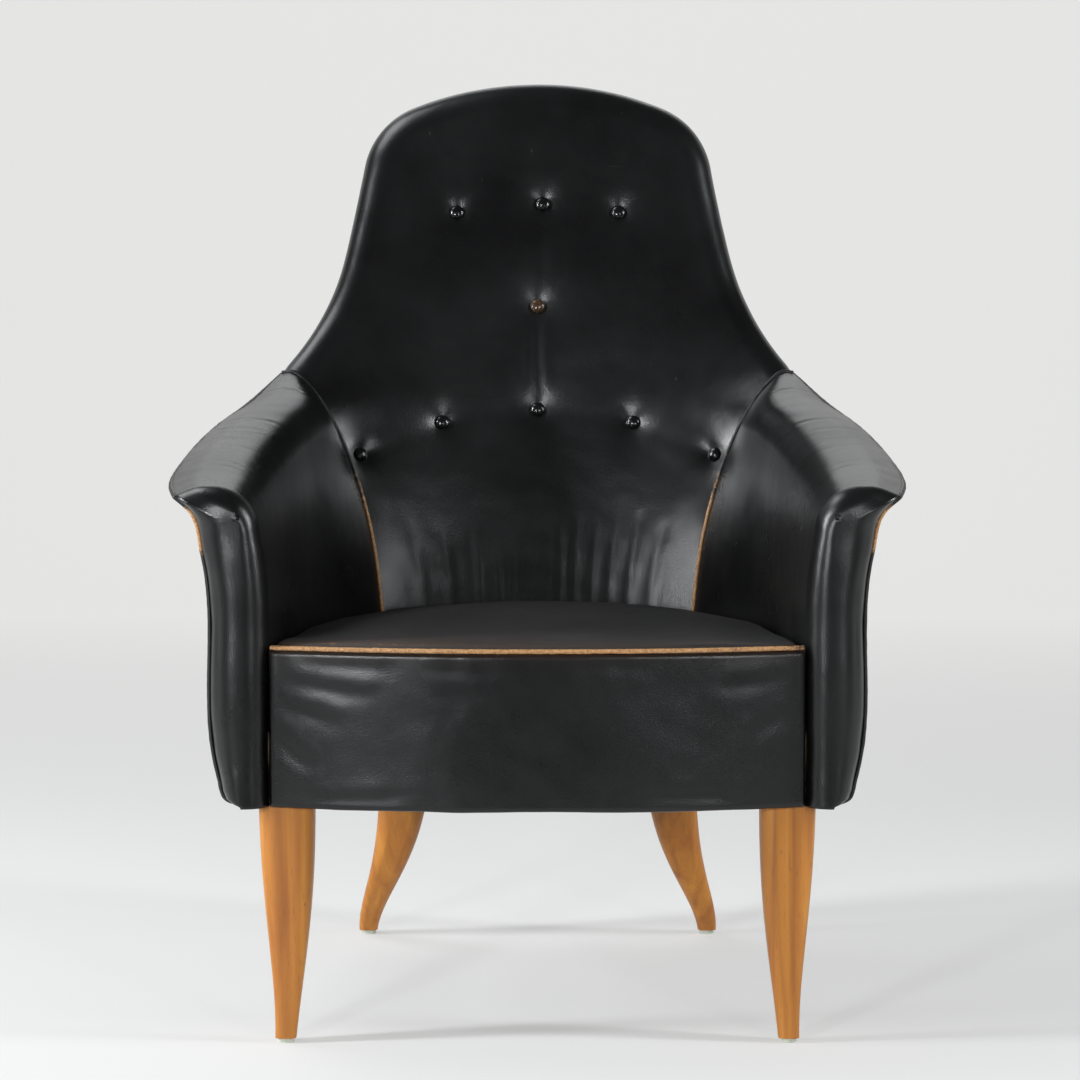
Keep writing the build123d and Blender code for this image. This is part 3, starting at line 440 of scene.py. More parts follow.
hide = hideMaterial("blackHide", 0.29)
# the seat's copy is rougher, and its base colour is lifted paler
seatHide = hideMaterial("seatHide", 0.56, 0.012)
buttonHide = hideMaterial("buttonHide", 0.19)
piping = weltMaterial()
honeyWood = woodMaterial()
bareBeech = plainMaterial("bareBeech", (0.56, 0.38, 0.21), (0.70, 0.52, 0.32), 40, 0.6, scale=(1, 1, 0.2))
jute = wovenMaterial("juteWebbing", (0.30, 0.21, 0.11), (0.52, 0.41, 0.26), 0.0022)
twine = wovenMaterial("waxedTwine", (0.45, 0.36, 0.24), (0.62, 0.54, 0.40), 0.0012)
dustCloth = wovenMaterial("dustCloth", (0.010, 0.010, 0.011), (0.026, 0.026, 0.028), 0.0014)
zinc = plainMaterial("zincSteel", (0.48, 0.48, 0.49), (0.60, 0.60, 0.61), 300, 0.38, metal=1.0, depth=0.0001)
glidePlastic = plainMaterial("glidePlastic", colours["glide"], (0.42, 0.44, 0.37), 260, 0.55, depth=0.0002)
print("materials made")


def dress(names, material):
    for name in names:
        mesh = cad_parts[name].data
        mesh.materials.clear()
        mesh.materials.append(material)


allNodes = sorted(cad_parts)
dress([name for name in allNodes if name.startswith("leg_") and name != "leg_bolts"], honeyWood)
dress([name for name in allNodes if "rail" in name or "post" in name
       or name in ("corner_blocks", "frame_dowels", "tie_toggles")], bareBeech)
dress([name for name in allNodes if name.endswith("webbing") or "_webbing_" in name], jute)
dress(["button_ties"], twine)
dress(["webbing_tacks", "block_screws", "leg_bolts", "glide_nails"], zinc)
dress(["foot_glides"], glidePlastic)
print("frame dressed")

# Arms
# The arm's sections from nose to rear seam: place and turn, then the points round the section as shares
# of half width and height. The points run from the inner foot over the ridge to the edge and down again.
arm = {
    "seamFoot": 0.471,
    "stations": [
        (-0.862, 0, [(0.721, 0.246), (0.721, 0.412), (0.724, 0.469), (0.740, 0.520), (0.758, 0.549),
                     (0.797, 0.565), (0.898, 0.573), (0.976, 0.563), (0.926, 0.545), (0.896, 0.502),
                     (0.857, 0.275), (0.839, 0.253), (0.781, 0.246)]),
        (-0.750, 0, [(0.719, 0.246), (0.719, 0.412), (0.721, 0.473), (0.734, 0.528), (0.755, 0.557),
                     (0.797, 0.572), (0.898, 0.580), (0.997, 0.569), (0.939, 0.551), (0.901, 0.505),
                     (0.862, 0.275), (0.844, 0.253), (0.786, 0.246)]),
        (-0.450, 0, [(0.698, 0.246), (0.698, 0.412), (0.698, 0.480), (0.711, 0.549), (0.732, 0.578),
                     (0.776, 0.594), (0.880, 0.602), (0.982, 0.592), (0.926, 0.574), (0.893, 0.520),
                     (0.867, 0.275), (0.849, 0.253), (0.789, 0.246)]),
        (-0.165, 3, [(0.646, 0.246), (0.646, 0.412), (0.648, 0.490), (0.661, 0.574), (0.682, 0.604),
                     (0.721, 0.619), (0.828, 0.627), (0.928, 0.617), (0.889, 0.593), (0.867, 0.539),
                     (0.854, 0.275), (0.836, 0.253), (0.776, 0.246)]),
        (0.050, 8, [(0.560, 0.246), (0.560, 0.412), (0.570, 0.505), (0.599, 0.588), (0.622, 0.620),
                    (0.664, 0.638), (0.760, 0.647), (0.855, 0.638), (0.836, 0.613), (0.828, 0.564),
                    (0.820, 0.275), (0.802, 0.253), (0.742, 0.246)]),
        (0.270, 14, [(0.464, 0.246), (0.471, 0.396), (0.514, 0.505), (0.578, 0.580), (0.630, 0.620),
                     (0.698, 0.655), (0.742, 0.668), (0.774, 0.667), (0.787, 0.627), (0.786, 0.588),
                     (0.781, 0.275), (0.760, 0.253), (0.703, 0.246)]),
    ],
    "edgePick": 7,
    "lastPick": 12,
    "noseDepth": 0.029,
    "noseCentre": 0.797,
    "noseDrop": 0.030,
    "noseFullness": 0.75,  # 1 is a round nose, less is flatter in front
    "noseRows": 26,
    "rows": 174,
    "rearRows": 4,
    "rearRun": 0.030,
    "finePicks": 2401,
    "levelsEachSide": 46,
    "leastLevel": 0.0006,
    "underColumns": 4,
    "inside": (0.306, -0.1, 0.42),
    "folds": 34,
    "foldPlaces": (-0.34, 0.10),
    "foldSlant": (-0.010, 0.012),
    "foldBegins": (-0.03, 0.02),
    "foldEnds": (0.045, 0.085),
    "foldBows": (-0.009, -0.003),
    "foldDepths": (0.00008, 0.00012, 0.00018, 0.00042),
    "foldWidths": (0.0012, 0.0036),
    "foldsFrom": 0.50,  # height where the folds begin, and the climb to their full depth
    "foldsClimb": 0.07,
    "ridgeY": (-0.36, -0.18, -0.066, 0.02, 0.13),
    "ridgeX": (0.306, 0.298, 0.277, 0.255, 0.27),
    "unevenness": ((0.0012, 0.085, 1.3), (0.0003, 0.022, 5.1)),
    "seamY": 0.128,  # the relief fades towards the rear seam
    "seamFade": 0.03,
    "seamRelief": 0.15,
    "fill": 0.7,
}

randomArm = random.Random(11)


def sectionAt(points, picks):
    points = np.asarray(points, float)
    edge = arm["edgePick"]
    placed = np.zeros((len(picks), 2))
    for first, last in ((0, edge), (edge, arm["lastPick"])):
        part = points[first:last + 1]
        lengths = np.concatenate([[0], np.cumsum(np.linalg.norm(np.diff(part, axis=0), axis=1))])
        inside = (picks >= first) & (picks <= last)
        at = np.interp(picks[inside], np.arange(first, last + 1), lengths)
        placed[inside] = follow(lengths, part, at)
    return placed


def armPoints(picks, places):  # places: -1 nose tip, 0 first station, 1 rear seam, 2 end inside the back
    wide, tall = chair["halfWidth"], chair["height"]
    picked, which = np.unique(np.round(picks, 6), return_inverse=True)
    sections = np.array([sectionAt([(x * wide, z * tall) for x, z in shares], picked)
                         for _, _, shares in arm["stations"]])
    keys = np.array([station[0] for station in arm["stations"]])
    turns = np.array([station[1] for station in arm["stations"]])
    place = keys[0] + (keys[-1] - keys[0]) * np.clip(places, 0, 1)
    flat = sections.reshape(len(keys), -1)
    spots, row = np.unique(np.round(place, 6), return_inverse=True)
    rows = follow(keys, flat, spots).reshape(len(spots), len(picked), 2)
    found = rows[row, which]
    turn = np.radians(follow(keys, turns[:, None], place)[:, 0])
    x, z = found[:, 0], found[:, 1]
    roll = np.clip(-places, 0, 1) * math.pi / 2
    centre = arm["noseCentre"] * wide
    ridgeShare = max(z for _, z in arm["stations"][0][2])
    rise = ridgeShare * tall - chair["seatHeight"]
    drop = arm["noseDrop"] * (1 - np.cos(roll))
    z = z - drop * np.clip(z - chair["seatHeight"], 0, None) / rise
    x = centre + (x - centre) * np.maximum(np.cos(roll), 0) ** arm["noseFullness"]
    y = place * chair["halfDepth"] + np.tan(turn) * (x - arm["seamFoot"] * wide)
    y = y - arm["noseDepth"] * np.sin(roll) + arm["rearRun"] * np.clip(places - 1, 0, 1)
    return np.stack([x, y, z], 1)


def armColumns():  # picks whose heights on both sides of the ridge agree, so that the nose can close
    wide, tall = chair["halfWidth"], chair["height"]
    fine = np.linspace(0, arm["lastPick"], arm["finePicks"])
    section = sectionAt([(x * wide, z * tall) for x, z in arm["stations"][0][2]], fine)
    top = int(np.argmax(section[:, 1]))
    steps = np.linalg.norm(np.diff(section, axis=0), axis=1)
    lengths = np.concatenate([[0], np.cumsum(steps)])
    edgeLevel = np.interp(arm["edgePick"], fine, section[:, 1])
    count = arm["levelsEachSide"]
    marks = np.concatenate([np.linspace(0, lengths[top], count),
                            np.linspace(lengths[top], lengths[-1], count)])
    levels = [edgeLevel]
    for level in np.interp(marks, lengths, section[:, 1]):
        if min(abs(level - other) for other in levels) > arm["leastLevel"]:
            levels.append(level)
    levels = np.sort(levels)
    left = np.interp(levels, section[:top + 1, 1], fine[:top + 1])
    right = np.interp(levels[::-1], section[top:, 1][::-1], fine[top:][::-1])
    under = np.linspace(0, 1, arm["underColumns"] + 1)[1:]
    return np.concatenate([left, right, arm["lastPick"] + under])


columnPicks = armColumns()
armCount = len(columnPicks) - 1
edgeColumn = int(np.argmin(np.abs(columnPicks - arm["edgePick"])))
lastColumn = armCount - arm["underColumns"]


def armSheet(across, along):
    picks = np.interp(across * armCount, np.arange(armCount + 1), columnPicks)
    row = along * arm["rows"]
    seamRow = arm["rows"] - arm["rearRows"]
    places = np.interp(row, [0, arm["noseRows"], seamRow, arm["rows"]], [-1, 0, 1, 2])
    spots = armPoints(np.clip(picks, 0, arm["lastPick"]), places)
    foot = armPoints(np.zeros(len(picks)), places)
    under = np.clip(picks - arm["lastPick"], 0, 1)[:, None]
    return spots * (1 - under) + foot * under


def ofCover(across, along):  # inner face, ridge, nose and underside; half a step takes in the shared edge
    column, row = across * armCount, along * arm["rows"]
    return (column < edgeColumn + 0.5) | (row < arm["noseRows"] + 0.5) | (column > lastColumn - 0.5)


def ofOutside(across, along):
    column, row = across * armCount, along * arm["rows"]
    return (column > edgeColumn - 0.5) & (row > arm["noseRows"] - 0.5) & (column < lastColumn + 0.5)


armCover = gridPiece("armCoverRight", armCount, arm["rows"], armSheet, ofCover)
outsideArm = gridPiece("outsideArmRight", armCount, arm["rows"], armSheet, ofOutside)

armFolds = []
leanIn, leanOut = arm["foldSlant"]
for _ in range(arm["folds"]):  # fine folds across the arm's top
    y = randomArm.uniform(*arm["foldPlaces"])
    begin, end = randomArm.uniform(*arm["foldBegins"]), randomArm.uniform(*arm["foldEnds"])
    armFolds.append(((y + leanIn, begin), (y + leanOut, end), randomArm.uniform(*arm["foldBows"]),
                     randomArm.choice(arm["foldDepths"]), randomArm.uniform(*arm["foldWidths"])))


def armRelief(piece):
    co = coordinates(piece)
    normals = normalsOf(piece)
    ridge = np.interp(co[:, 1], arm["ridgeY"], arm["ridgeX"])
    flat = np.stack([co[:, 1], co[:, 0] - ridge], 1)
    upper = np.clip((co[:, 2] - arm["foldsFrom"]) / arm["foldsClimb"], 0, 1)
    relief = creases(flat, armFolds) * upper
    relief += uneven(co, arm["unevenness"])
    relief *= np.clip((arm["seamY"] - co[:, 1]) / arm["seamFade"], arm["seamRelief"], 1)
    setCoordinates(piece, co + normals * relief[:, None])


for piece, twinName, nodes, fill in (
    (armCover, "armCoverLeft", ("arm_cover", "arm_foam"), arm["fill"]),
    (outsideArm, "outsideArmLeft", ("outside_arm",), None),
):
    turnOutward(piece, arm["inside"])
    armRelief(piece)
    setWear(piece)
    thicken(piece, chair["leather"])
    twin = mirrored(piece, twinName)
    finishPiece(piece, hide, [name + "_right" for name in nodes])
    finishPiece(twin, hide, [name + "_left" for name in nodes])
print("arms made")

# Back
# The places are x and z on the back
buttons = {
    "places": [(0.006, 0.878), (0.096, 0.868), (-0.096, 0.868), (0.000, 0.757), (0.000, 0.636),
               (0.110, 0.622), (-0.110, 0.622), (0.203, 0.587), (-0.203, 0.587)],
    "radius": 0.0085,
    "rise": 0.0046,
    "wellDepth": 0.0080,
    "wellReach": 0.0140,
    "wellFlat": 0.7,  # share of the radius that lies flat
    "drawDepth": 0.0010,
    "drawReach": 0.042,
    "pleats": 3,
    "pleatStart": 0.007,
    "pleatReach": (0.022, 0.034),
    "pleatBow": (-0.002, 0.002),
    "pleatDepth": (0.0001, 0.0003),
    "pleatWidth": (0.0018, 0.0030),
    "showing": 0.0012,
    "slopeStep": 0.006,
    "segments": 40,
    "rings": 24,
    "rearShare": 0.55,  # of the rise, behind the button's rim
    "pucker": 0.03,
    "puckers": 9,
    "puckerBelow": 0.35,
    "crown": 0.1,
    "worn": 3,  # which button is worn brown
    "wornReach": 0.02,
    "wear": 0.60,
}

# The back's levels: height share, then the depth of the front at the middle and the side, and of the rear
back = {
    "sideShare": 0.800,
    "levels": [
        (0.240, 0.215, 0.190, 0.550, 0.375),
        (0.328, 0.260, 0.200, 0.592, 0.385),
        (0.398, 0.312, 0.195, 0.632, 0.410),
        (0.477, 0.372, 0.150, 0.675, 0.440),
        (0.564, 0.438, 0.140, 0.730, 0.475),
        (0.625, 0.484, 0.219, 0.770, 0.500),
        (0.668, 0.515, 0.340, 0.795, 0.530),
        (0.708, 0.545, 0.412, 0.818, 0.575),
        (0.750, 0.577, 0.482, 0.845, 0.640),
        (0.804, 0.617, 0.550, 0.875, 0.730),
        (0.863, 0.662, 0.625, 0.910, 0.820),
        (0.931, 0.713, 0.700, 0.952, 0.900),
        (1.000, 0.765, 0.760, 0.990, 0.955),
        (1.030, 0.787, 0.784, 1.003, 0.975),
    ],
    # arcs of the outline seen from the front, from the top of the dome: radius, turn, side it bends to
    "arcs": [(0.400, 21.9, 1), (0.095, 58.1, 1), (2.100, 3.0, -1), (0.293, 27.0, -1), (0.045, 40.0, 1)],
    "frontRoll": 0.028,
    "rearRoll": 0.016,
    "rearSeam": 0.014,
    "spineTop": 0.885,
    "columns": 460,
    "rows": 104,
    "rollRows": 12,
    "wallRows": 8,
    "rearRollRows": 8,
    "rearFaceRows": 8,
    "rearFaceSink": 0.001,
    "inside": (0, 0.25, 0.6),
    "facingRise": 1.6,  # the front's relief fades as it turns to the sides
    "unevenShare": (0.3, 0.7),
    "unevenness": ((0.0016, 0.11, 2.2), (0.0003, 0.024, 7.7)),
    "fill": 0.75,
}


def backDepth(x, z, column=1):
    levels = np.array(back["levels"])
    keys = levels[:, 0] * chair["height"]
    flat = follow(keys, levels[:, column:column + 2] * chair["halfDepth"], np.ravel(z))
    middle, side = flat[:, 0], flat[:, 1]
    reach = back["sideShare"] * chair["halfWidth"]
    sag = np.maximum(middle - side, 1e-5)
    bend = (reach ** 2 + sag ** 2) / (2 * sag)
    return middle - bend + np.sqrt(np.maximum(bend ** 2 - np.ravel(x) ** 2, 0))


def outline(shares):  # right half of the back's outline, from the dome's top to its foot, and its normals
    pieces = []
    x, z, angle = 0.0, chair["height"], 0.0
    for radius, turn, side in back["arcs"]:
        centre = (x - side * radius * math.sin(angle), z - side * radius * math.cos(angle))
        pieces.append((centre, radius, side, angle, radius * math.radians(turn)))
        angle += side * math.radians(turn)
        x = centre[0] + side * radius * math.sin(angle)
        z = centre[1] + side * radius * math.cos(angle)
    ends = np.cumsum([0] + [piece[4] for piece in pieces] + [z - chair["underside"]])
    at = np.asarray(shares) * ends[-1]
    points = np.stack([np.full(len(at), x), z - (at - ends[-2])], 1)
    normals = np.tile((1.0, 0.0), (len(at), 1))
    for begin, (centre, radius, side, start, length) in zip(ends, pieces):
        inside = (at >= begin) & (at <= begin + length)
        angle = start + side * (at[inside] - begin) / radius
        normals[inside] = np.stack([np.sin(angle), np.cos(angle)], 1)
        points[inside] = np.array(centre) + side * radius * normals[inside]
    return points, normals


rollRows, wallRows, rearRows = back["rollRows"], back["wallRows"], back["rearRollRows"]
faceRows = back["rows"] - rollRows - wallRows - rearRows - back["rearFaceRows"]


def spineOf(points):
    return np.clip(points[:, 1], chair["underside"], back["spineTop"])


def backSheet(across, along):
    side = np.where(across < 0.5, -1.0, 1.0)
    points, normals = outline(np.abs(across - 0.5) * 2)
    row = along * back["rows"]
    spine = spineOf(points)
    front, rear = back["frontRoll"], back["rearRoll"]
    result = np.zeros((len(row), 3))
    inner = points - normals * front
    innerRear = points - normals * rear
    face = row <= faceRows
    share = np.clip(row / faceRows, 0, 1)
    flatX = inner[:, 0] * share
    flatZ = spine + (inner[:, 1] - spine) * share
    result[face] = np.stack([flatX, backDepth(flatX, flatZ), flatZ], 1)[face]
    roll = (row > faceRows) & (row <= faceRows + rollRows)
    angle = (row - faceRows) / rollRows * math.pi / 2
    inset = front * (1 - np.sin(angle))
    x, z = points[:, 0] - normals[:, 0] * inset, points[:, 1] - normals[:, 1] * inset
    result[roll] = np.stack([x, backDepth(x, z) + front * (1 - np.cos(angle)), z], 1)[roll]
    wall = (row > faceRows + rollRows) & (row <= faceRows + rollRows + wallRows)
    down = np.clip((row - faceRows - rollRows) / wallRows, 0, 1)
    x, z = points[:, 0], points[:, 1]
    y = (backDepth(x, z) + front) * (1 - down) + (backDepth(x, z, 3) - rear) * down
    result[wall] = np.stack([x, y, z], 1)[wall]
    edge = faceRows + rollRows + wallRows
    rearRoll = (row > edge) & (row <= edge + rearRows)
    angle = (row - edge) / rearRows * math.pi / 2
    inset = rear * (1 - np.cos(angle))
    x, z = points[:, 0] - normals[:, 0] * inset, points[:, 1] - normals[:, 1] * inset
    result[rearRoll] = np.stack([x, backDepth(x, z, 3) - rear * (1 - np.sin(angle)), z], 1)[rearRoll]
    last = row > edge + rearRows
    share = 1 - np.clip((row - edge - rearRows) / back["rearFaceRows"], 0, 1)
    flatX = innerRear[:, 0] * share
    flatZ = spine + (innerRear[:, 1] - spine) * share
    result[last] = np.stack([flatX, backDepth(flatX, flatZ, 3) - back["rearFaceSink"], flatZ], 1)[last]
    result[:, 0] *= side
    return result


backCover = gridPiece("backCover", back["columns"], back["rows"], backSheet)
turnOutward(backCover, back["inside"])
randomBack = random.Random(5)
backFolds = [  # middle crease, creases between the buttons, then the fan above the seat
    ((0.000, 0.745), (0.002, 0.652), 0.002, 0.0016, 0.0055),
    ((0.004, 0.865), (0.000, 0.775), -0.002, 0.0006, 0.0070),
    ((-0.104, 0.628), (-0.012, 0.637), 0.004, 0.0003, 0.0090),
    ((0.104, 0.628), (0.012, 0.637), -0.004, 0.0003, 0.0090),
    ((-0.198, 0.592), (-0.120, 0.618), 0.004, 0.0003, 0.0085),
    ((0.198, 0.592), (0.120, 0.618), -0.004, 0.0003, 0.0085),
    ((-0.066, 0.395), (-0.074, 0.500), 0.002, 0.0010, 0.0036),
    ((-0.044, 0.395), (-0.049, 0.485), 0.001, 0.0008, 0.0026),
    ((-0.030, 0.395), (-0.031, 0.490), 0.001, 0.0009, 0.0024),
    ((0.024, 0.395), (0.027, 0.505), 0.001, 0.0008, 0.0030),
    ((0.042, 0.395), (0.048, 0.515), -0.002, 0.0009, 0.0034),
    ((0.061, 0.395), (0.071, 0.510), -0.002, 0.0010, 0.0034),
    ((0.081, 0.395), (0.095, 0.515), -0.003, 0.0009, 0.0038),
    ((0.103, 0.395), (0.122, 0.520), -0.003, 0.0009, 0.0044),
    ((0.128, 0.395), (0.150, 0.510), -0.004, 0.0007, 0.0050),
    ((-0.098, 0.395), (-0.112, 0.500), 0.003, 0.0006, 0.0050),
    ((-0.130, 0.395), (-0.150, 0.510), 0.003, 0.0005, 0.0060),
]
for x, z in buttons["places"]:  # small pleats round each button
    for _ in range(buttons["pleats"]):
        angle = randomBack.uniform(0, 2 * math.pi)
        start, end = ((x + reach * math.cos(angle), z + reach * math.sin(angle))
                      for reach in (buttons["pleatStart"], randomBack.uniform(*buttons["pleatReach"])))
        bow, depth, width = (randomBack.uniform(*buttons[key])
                             for key in ("pleatBow", "pleatDepth", "pleatWidth"))
        backFolds.append((start, end, bow, depth, width))


def tuftDepth(x, z):
    depth = np.zeros(len(x))
    for buttonX, buttonZ in buttons["places"]:
        away = np.hypot(x - buttonX, z - buttonZ)
        outside = np.maximum(away - buttons["wellFlat"] * buttons["radius"], 0)
        depth += (buttons["wellDepth"] - buttons["drawDepth"]) * np.exp(-outside / buttons["wellReach"])
        depth += buttons["drawDepth"] * np.exp(-(away / buttons["drawReach"]) ** 2)
    return depth


co = coordinates(backCover)
facing = np.clip(-normalsOf(backCover)[:, 1] * back["facingRise"], 0, 1)
relief = creases(co[:, [0, 2]], backFolds) * facing - tuftDepth(co[:, 0], co[:, 2]) * facing
least, more = back["unevenShare"]
relief += uneven(co, back["unevenness"]) * (least + more * facing)
push(backCover, relief)
edit(backCover, pickOpenEdges, fillPicked)  # the underside is closed across
setWear(backCover)
finishPiece(backCover, hide, ["back_cover", "back_foam"])

outsideBackShape = {
    "columns": 300,
    "rows": 60,
    "lift": 0.0022,
    "inside": (0, 0.1, 0.6),
    "unevenness": ((0.0008, 0.12, 4.4), (0.0002, 0.03, 8.1)),
}


def rearSheet(across, along):
    side = np.where(across < 0.5, -1.0, 1.0)
    points, normals = outline(np.abs(across - 0.5) * 2)
    inner = points - normals * back["rearSeam"]
    spine = spineOf(points)
    x = inner[:, 0] * along
    z = spine + (inner[:, 1] - spine) * along
    z = np.where(points[:, 1] <= chair["underside"] + 1e-6, chair["underside"], z)
    y = backDepth(x, z, 3) + outsideBackShape["lift"]
    return np.stack([x * side, y, z], 1)


outsideBack = gridPiece("outsideBack", outsideBackShape["columns"], outsideBackShape["rows"], rearSheet)
turnOutward(outsideBack, outsideBackShape["inside"])
push(outsideBack, uneven(coordinates(outsideBack), outsideBackShape["unevenness"]))
setWear(outsideBack)
thicken(outsideBack, chair["leather"])
finishPiece(outsideBack, hide, ["outside_back"])
print("back made")

# The welts' sizes, which the seat's front edge follows too
welts = {
    "radius": 0.0024,
    "out": 0.75,  # how far the cord's middle stands off the leather, in radii
    "stepsPerSpot": 3,
    "sideSteps": 4,
    "unevenness": ((0.0003, 0.006, 3.1),),
    "spots": 90,
    "downSpots": 70,
    "turnSpots": 14,
    "tipWear": (0.538, 0.030, 1.4, -0.33),  # the worn arm tip: height, reach, fullness, last y
    "edgeWear": (0.16, 0.70),  # along the edge, and what the tip adds
    "seamStart": 0.85,
    "seamWear": ((0.40, 0.46, 0.52, 0.60, 0.66), (0.85, 0.80, 0.70, 0.42, 0.20)),  # heights, wear
    "seatSpots": 120,
    "seatDrop": 0.0027,
    "seatWear": (0.92, 0.25, 0.05, 60),  # left end, less at the right, ripple, waves
    "rimSpots": 140,
    "rimLift": 0.001,
    "rimWear": 0.30,
}

# Seat
seat = {
    "reach": 0.330,
    "halfWidth": 0.276,
    "bow": 0.036,
    "stations": [(-1.050, 0.996, 1.000), (-0.900, 0.998, 1.010), (-0.500, 0.951, 1.029),
                 (-0.150, 0.931, 1.026), (0.100, 0.910, 1.010), (0.330, 0.910, 0.985)],
    "sideRoll": 0.014,
    "frontRoll": 0.004,
    "rearRoll": 0.012,
    "rearLevel": 0.405,
    "rearTuck": 0.004,
    "footPick": 0.95,  # where the seat meets the arms' inner faces
    "footSpots": 60,
    "armGap": 0.0006,
    "sideGap": 0.001,
    "weltGap": 1.3,  # welt radii between the apron's bow and the seat's front edge
    "padBottom": 0.3325,
    "columns": 200,
    "rows": 170,
    "inside": (0, -0.1, 0.2),
    "folds": 14,
    "foldStart": -0.24,
    "foldPitch": 0.037,
    "foldJitter": (-0.01, 0.01),
    "foldY": (-0.2, 0.05),
    "foldTurn": (-0.03, 0.03),
    "foldLength": (0.03, 0.08),
    "foldBow": 0.003,
    "foldDepth": (0.0002, 0.0005),
    "foldWidth": (0.002, 0.004),
    "unevenness": ((0.0016, 0.10, 6.1), (0.0003, 0.02, 9.2)),
    "wear": 0.55,
    "wearAll": 0.05,
    "wearPlace": 0.012,
    "wearReach": 0.025,
    "wearStart": 0.008,
    "leftWear": (0.7, 0.5, 0.35),  # the left half is worn more
    "fill": 0.8,
}


def bowDepth(x):
    radius = (seat["halfWidth"] ** 2 + seat["bow"] ** 2) / (2 * seat["bow"])
    return radius - chair["halfDepth"] - np.sqrt(radius ** 2 - np.asarray(x) ** 2)


seatKeys = [station[0] * chair["halfDepth"] for station in seat["stations"]]
seatHeights = np.array([station[1:] for station in seat["stations"]]) * chair["seatHeight"]
footCount = seat["footSpots"]
footSpots = armPoints(np.full(footCount, seat["footPick"]), np.linspace(0, 1, footCount))


def seatHalf(y):
    return np.interp(y, footSpots[:, 1], footSpots[:, 0]) - seat["armGap"]


def rolled(roll, away):  # how far a rounded edge has dropped at a distance from it
    close = np.clip(roll - away, 0, roll)
    return roll - np.sqrt(np.maximum(roll ** 2 - close ** 2, 0))


def seatSheet(across, along):
    u = across * 2 - 1
    x = u * 0.25
    for _ in range(4):  # x and y depend on each other and settle in a few rounds
        front = bowDepth(x) + welts["radius"] * seat["weltGap"]
        rear = backDepth(x, np.full(len(x), seat["rearLevel"])) + seat["rearTuck"]
        y = front + (rear - front) * along
        x = u * np.minimum(seatHalf(y), seat["halfWidth"] - seat["sideGap"])
    levels = follow(seatKeys, seatHeights, y)
    side, middle = levels[:, 0], levels[:, 1]
    z = middle - (middle - side) * (x / seat["reach"]) ** 2
    z -= rolled(seat["sideRoll"], (1 - np.abs(u)) * seatHalf(y))
    z -= rolled(seat["frontRoll"], y - front)
    z -= rolled(seat["rearRoll"], rear - y)
    return np.stack([x, y, z], 1)


seatCover = gridPiece("seatCover", seat["columns"], seat["rows"], seatSheet)
turnOutward(seatCover, seat["inside"])
randomSeat = random.Random(3)
seatFolds = []
for index in range(seat["folds"]):
    x = seat["foldStart"] + index * seat["foldPitch"] + randomSeat.uniform(*seat["foldJitter"])
    y = randomSeat.uniform(*seat["foldY"])
    end = (x + randomSeat.uniform(*seat["foldTurn"]), y + randomSeat.uniform(*seat["foldLength"]))
    depth, width = randomSeat.uniform(*seat["foldDepth"]), randomSeat.uniform(*seat["foldWidth"])
    seatFolds.append(((x, y), end, seat["foldBow"], depth, width))
co = coordinates(seatCover)
push(seatCover, creases(co[:, :2], seatFolds) + uneven(co, seat["unevenness"]))
edit(seatCover, pickOpenEdges,  # walls down to the pad's bottom, closed across
     lambda: bpy.ops.mesh.extrude_edges_move(TRANSFORM_OT_translate={"value": (0, 0, -0.01)}))
co = coordinates(seatCover)
chosen = np.array([vertex.select for vertex in seatCover.data.vertices])
co[chosen, 2] = seat["padBottom"]
setCoordinates(seatCover, co)
edit(seatCover, pickOpenEdges, fillPicked)
co = coordinates(seatCover)
fromFront = co[:, 1] - bowDepth(np.clip(co[:, 0], -seat["halfWidth"], seat["halfWidth"]))
middleShare, fall, least = seat["leftWear"]
left = np.clip(middleShare - co[:, 0] / fall, least, 1.0)
nearWelt = np.exp(-np.abs(fromFront - seat["wearPlace"]) / seat["wearReach"])
nearWelt *= np.clip(fromFront / seat["wearStart"], 0, 1)
setWear(seatCover, seat["wear"] * nearWelt * left + seat["wearAll"] * left)
finishPiece(seatCover, seatHide, ["seat_cover", "seat_foam"])

# Apron
apron = {
    "halfWidth": 0.2774,
    "sideRoll": 0.006,
    "edgeRoll": 0.004,
    "sideReturn": 0.016,
    "bottomReturn": 0.014,
    "top": 0.4145,
    "columns": 220,
    "rows": 90,
    "topReturn": 0.004,
    "inside": (0, 0.2, 0.33),
    "unevenness": ((0.0014, 0.10, 3.7), (0.0003, 0.025, 1.9)),
    "fadeFrom": 0.277,  # x where the relief has faded out, and the run of the fade
    "sideFade": 0.02,
    "wear": 0.30,
    "wearReach": 0.004,
    "fill": 0.7,
}


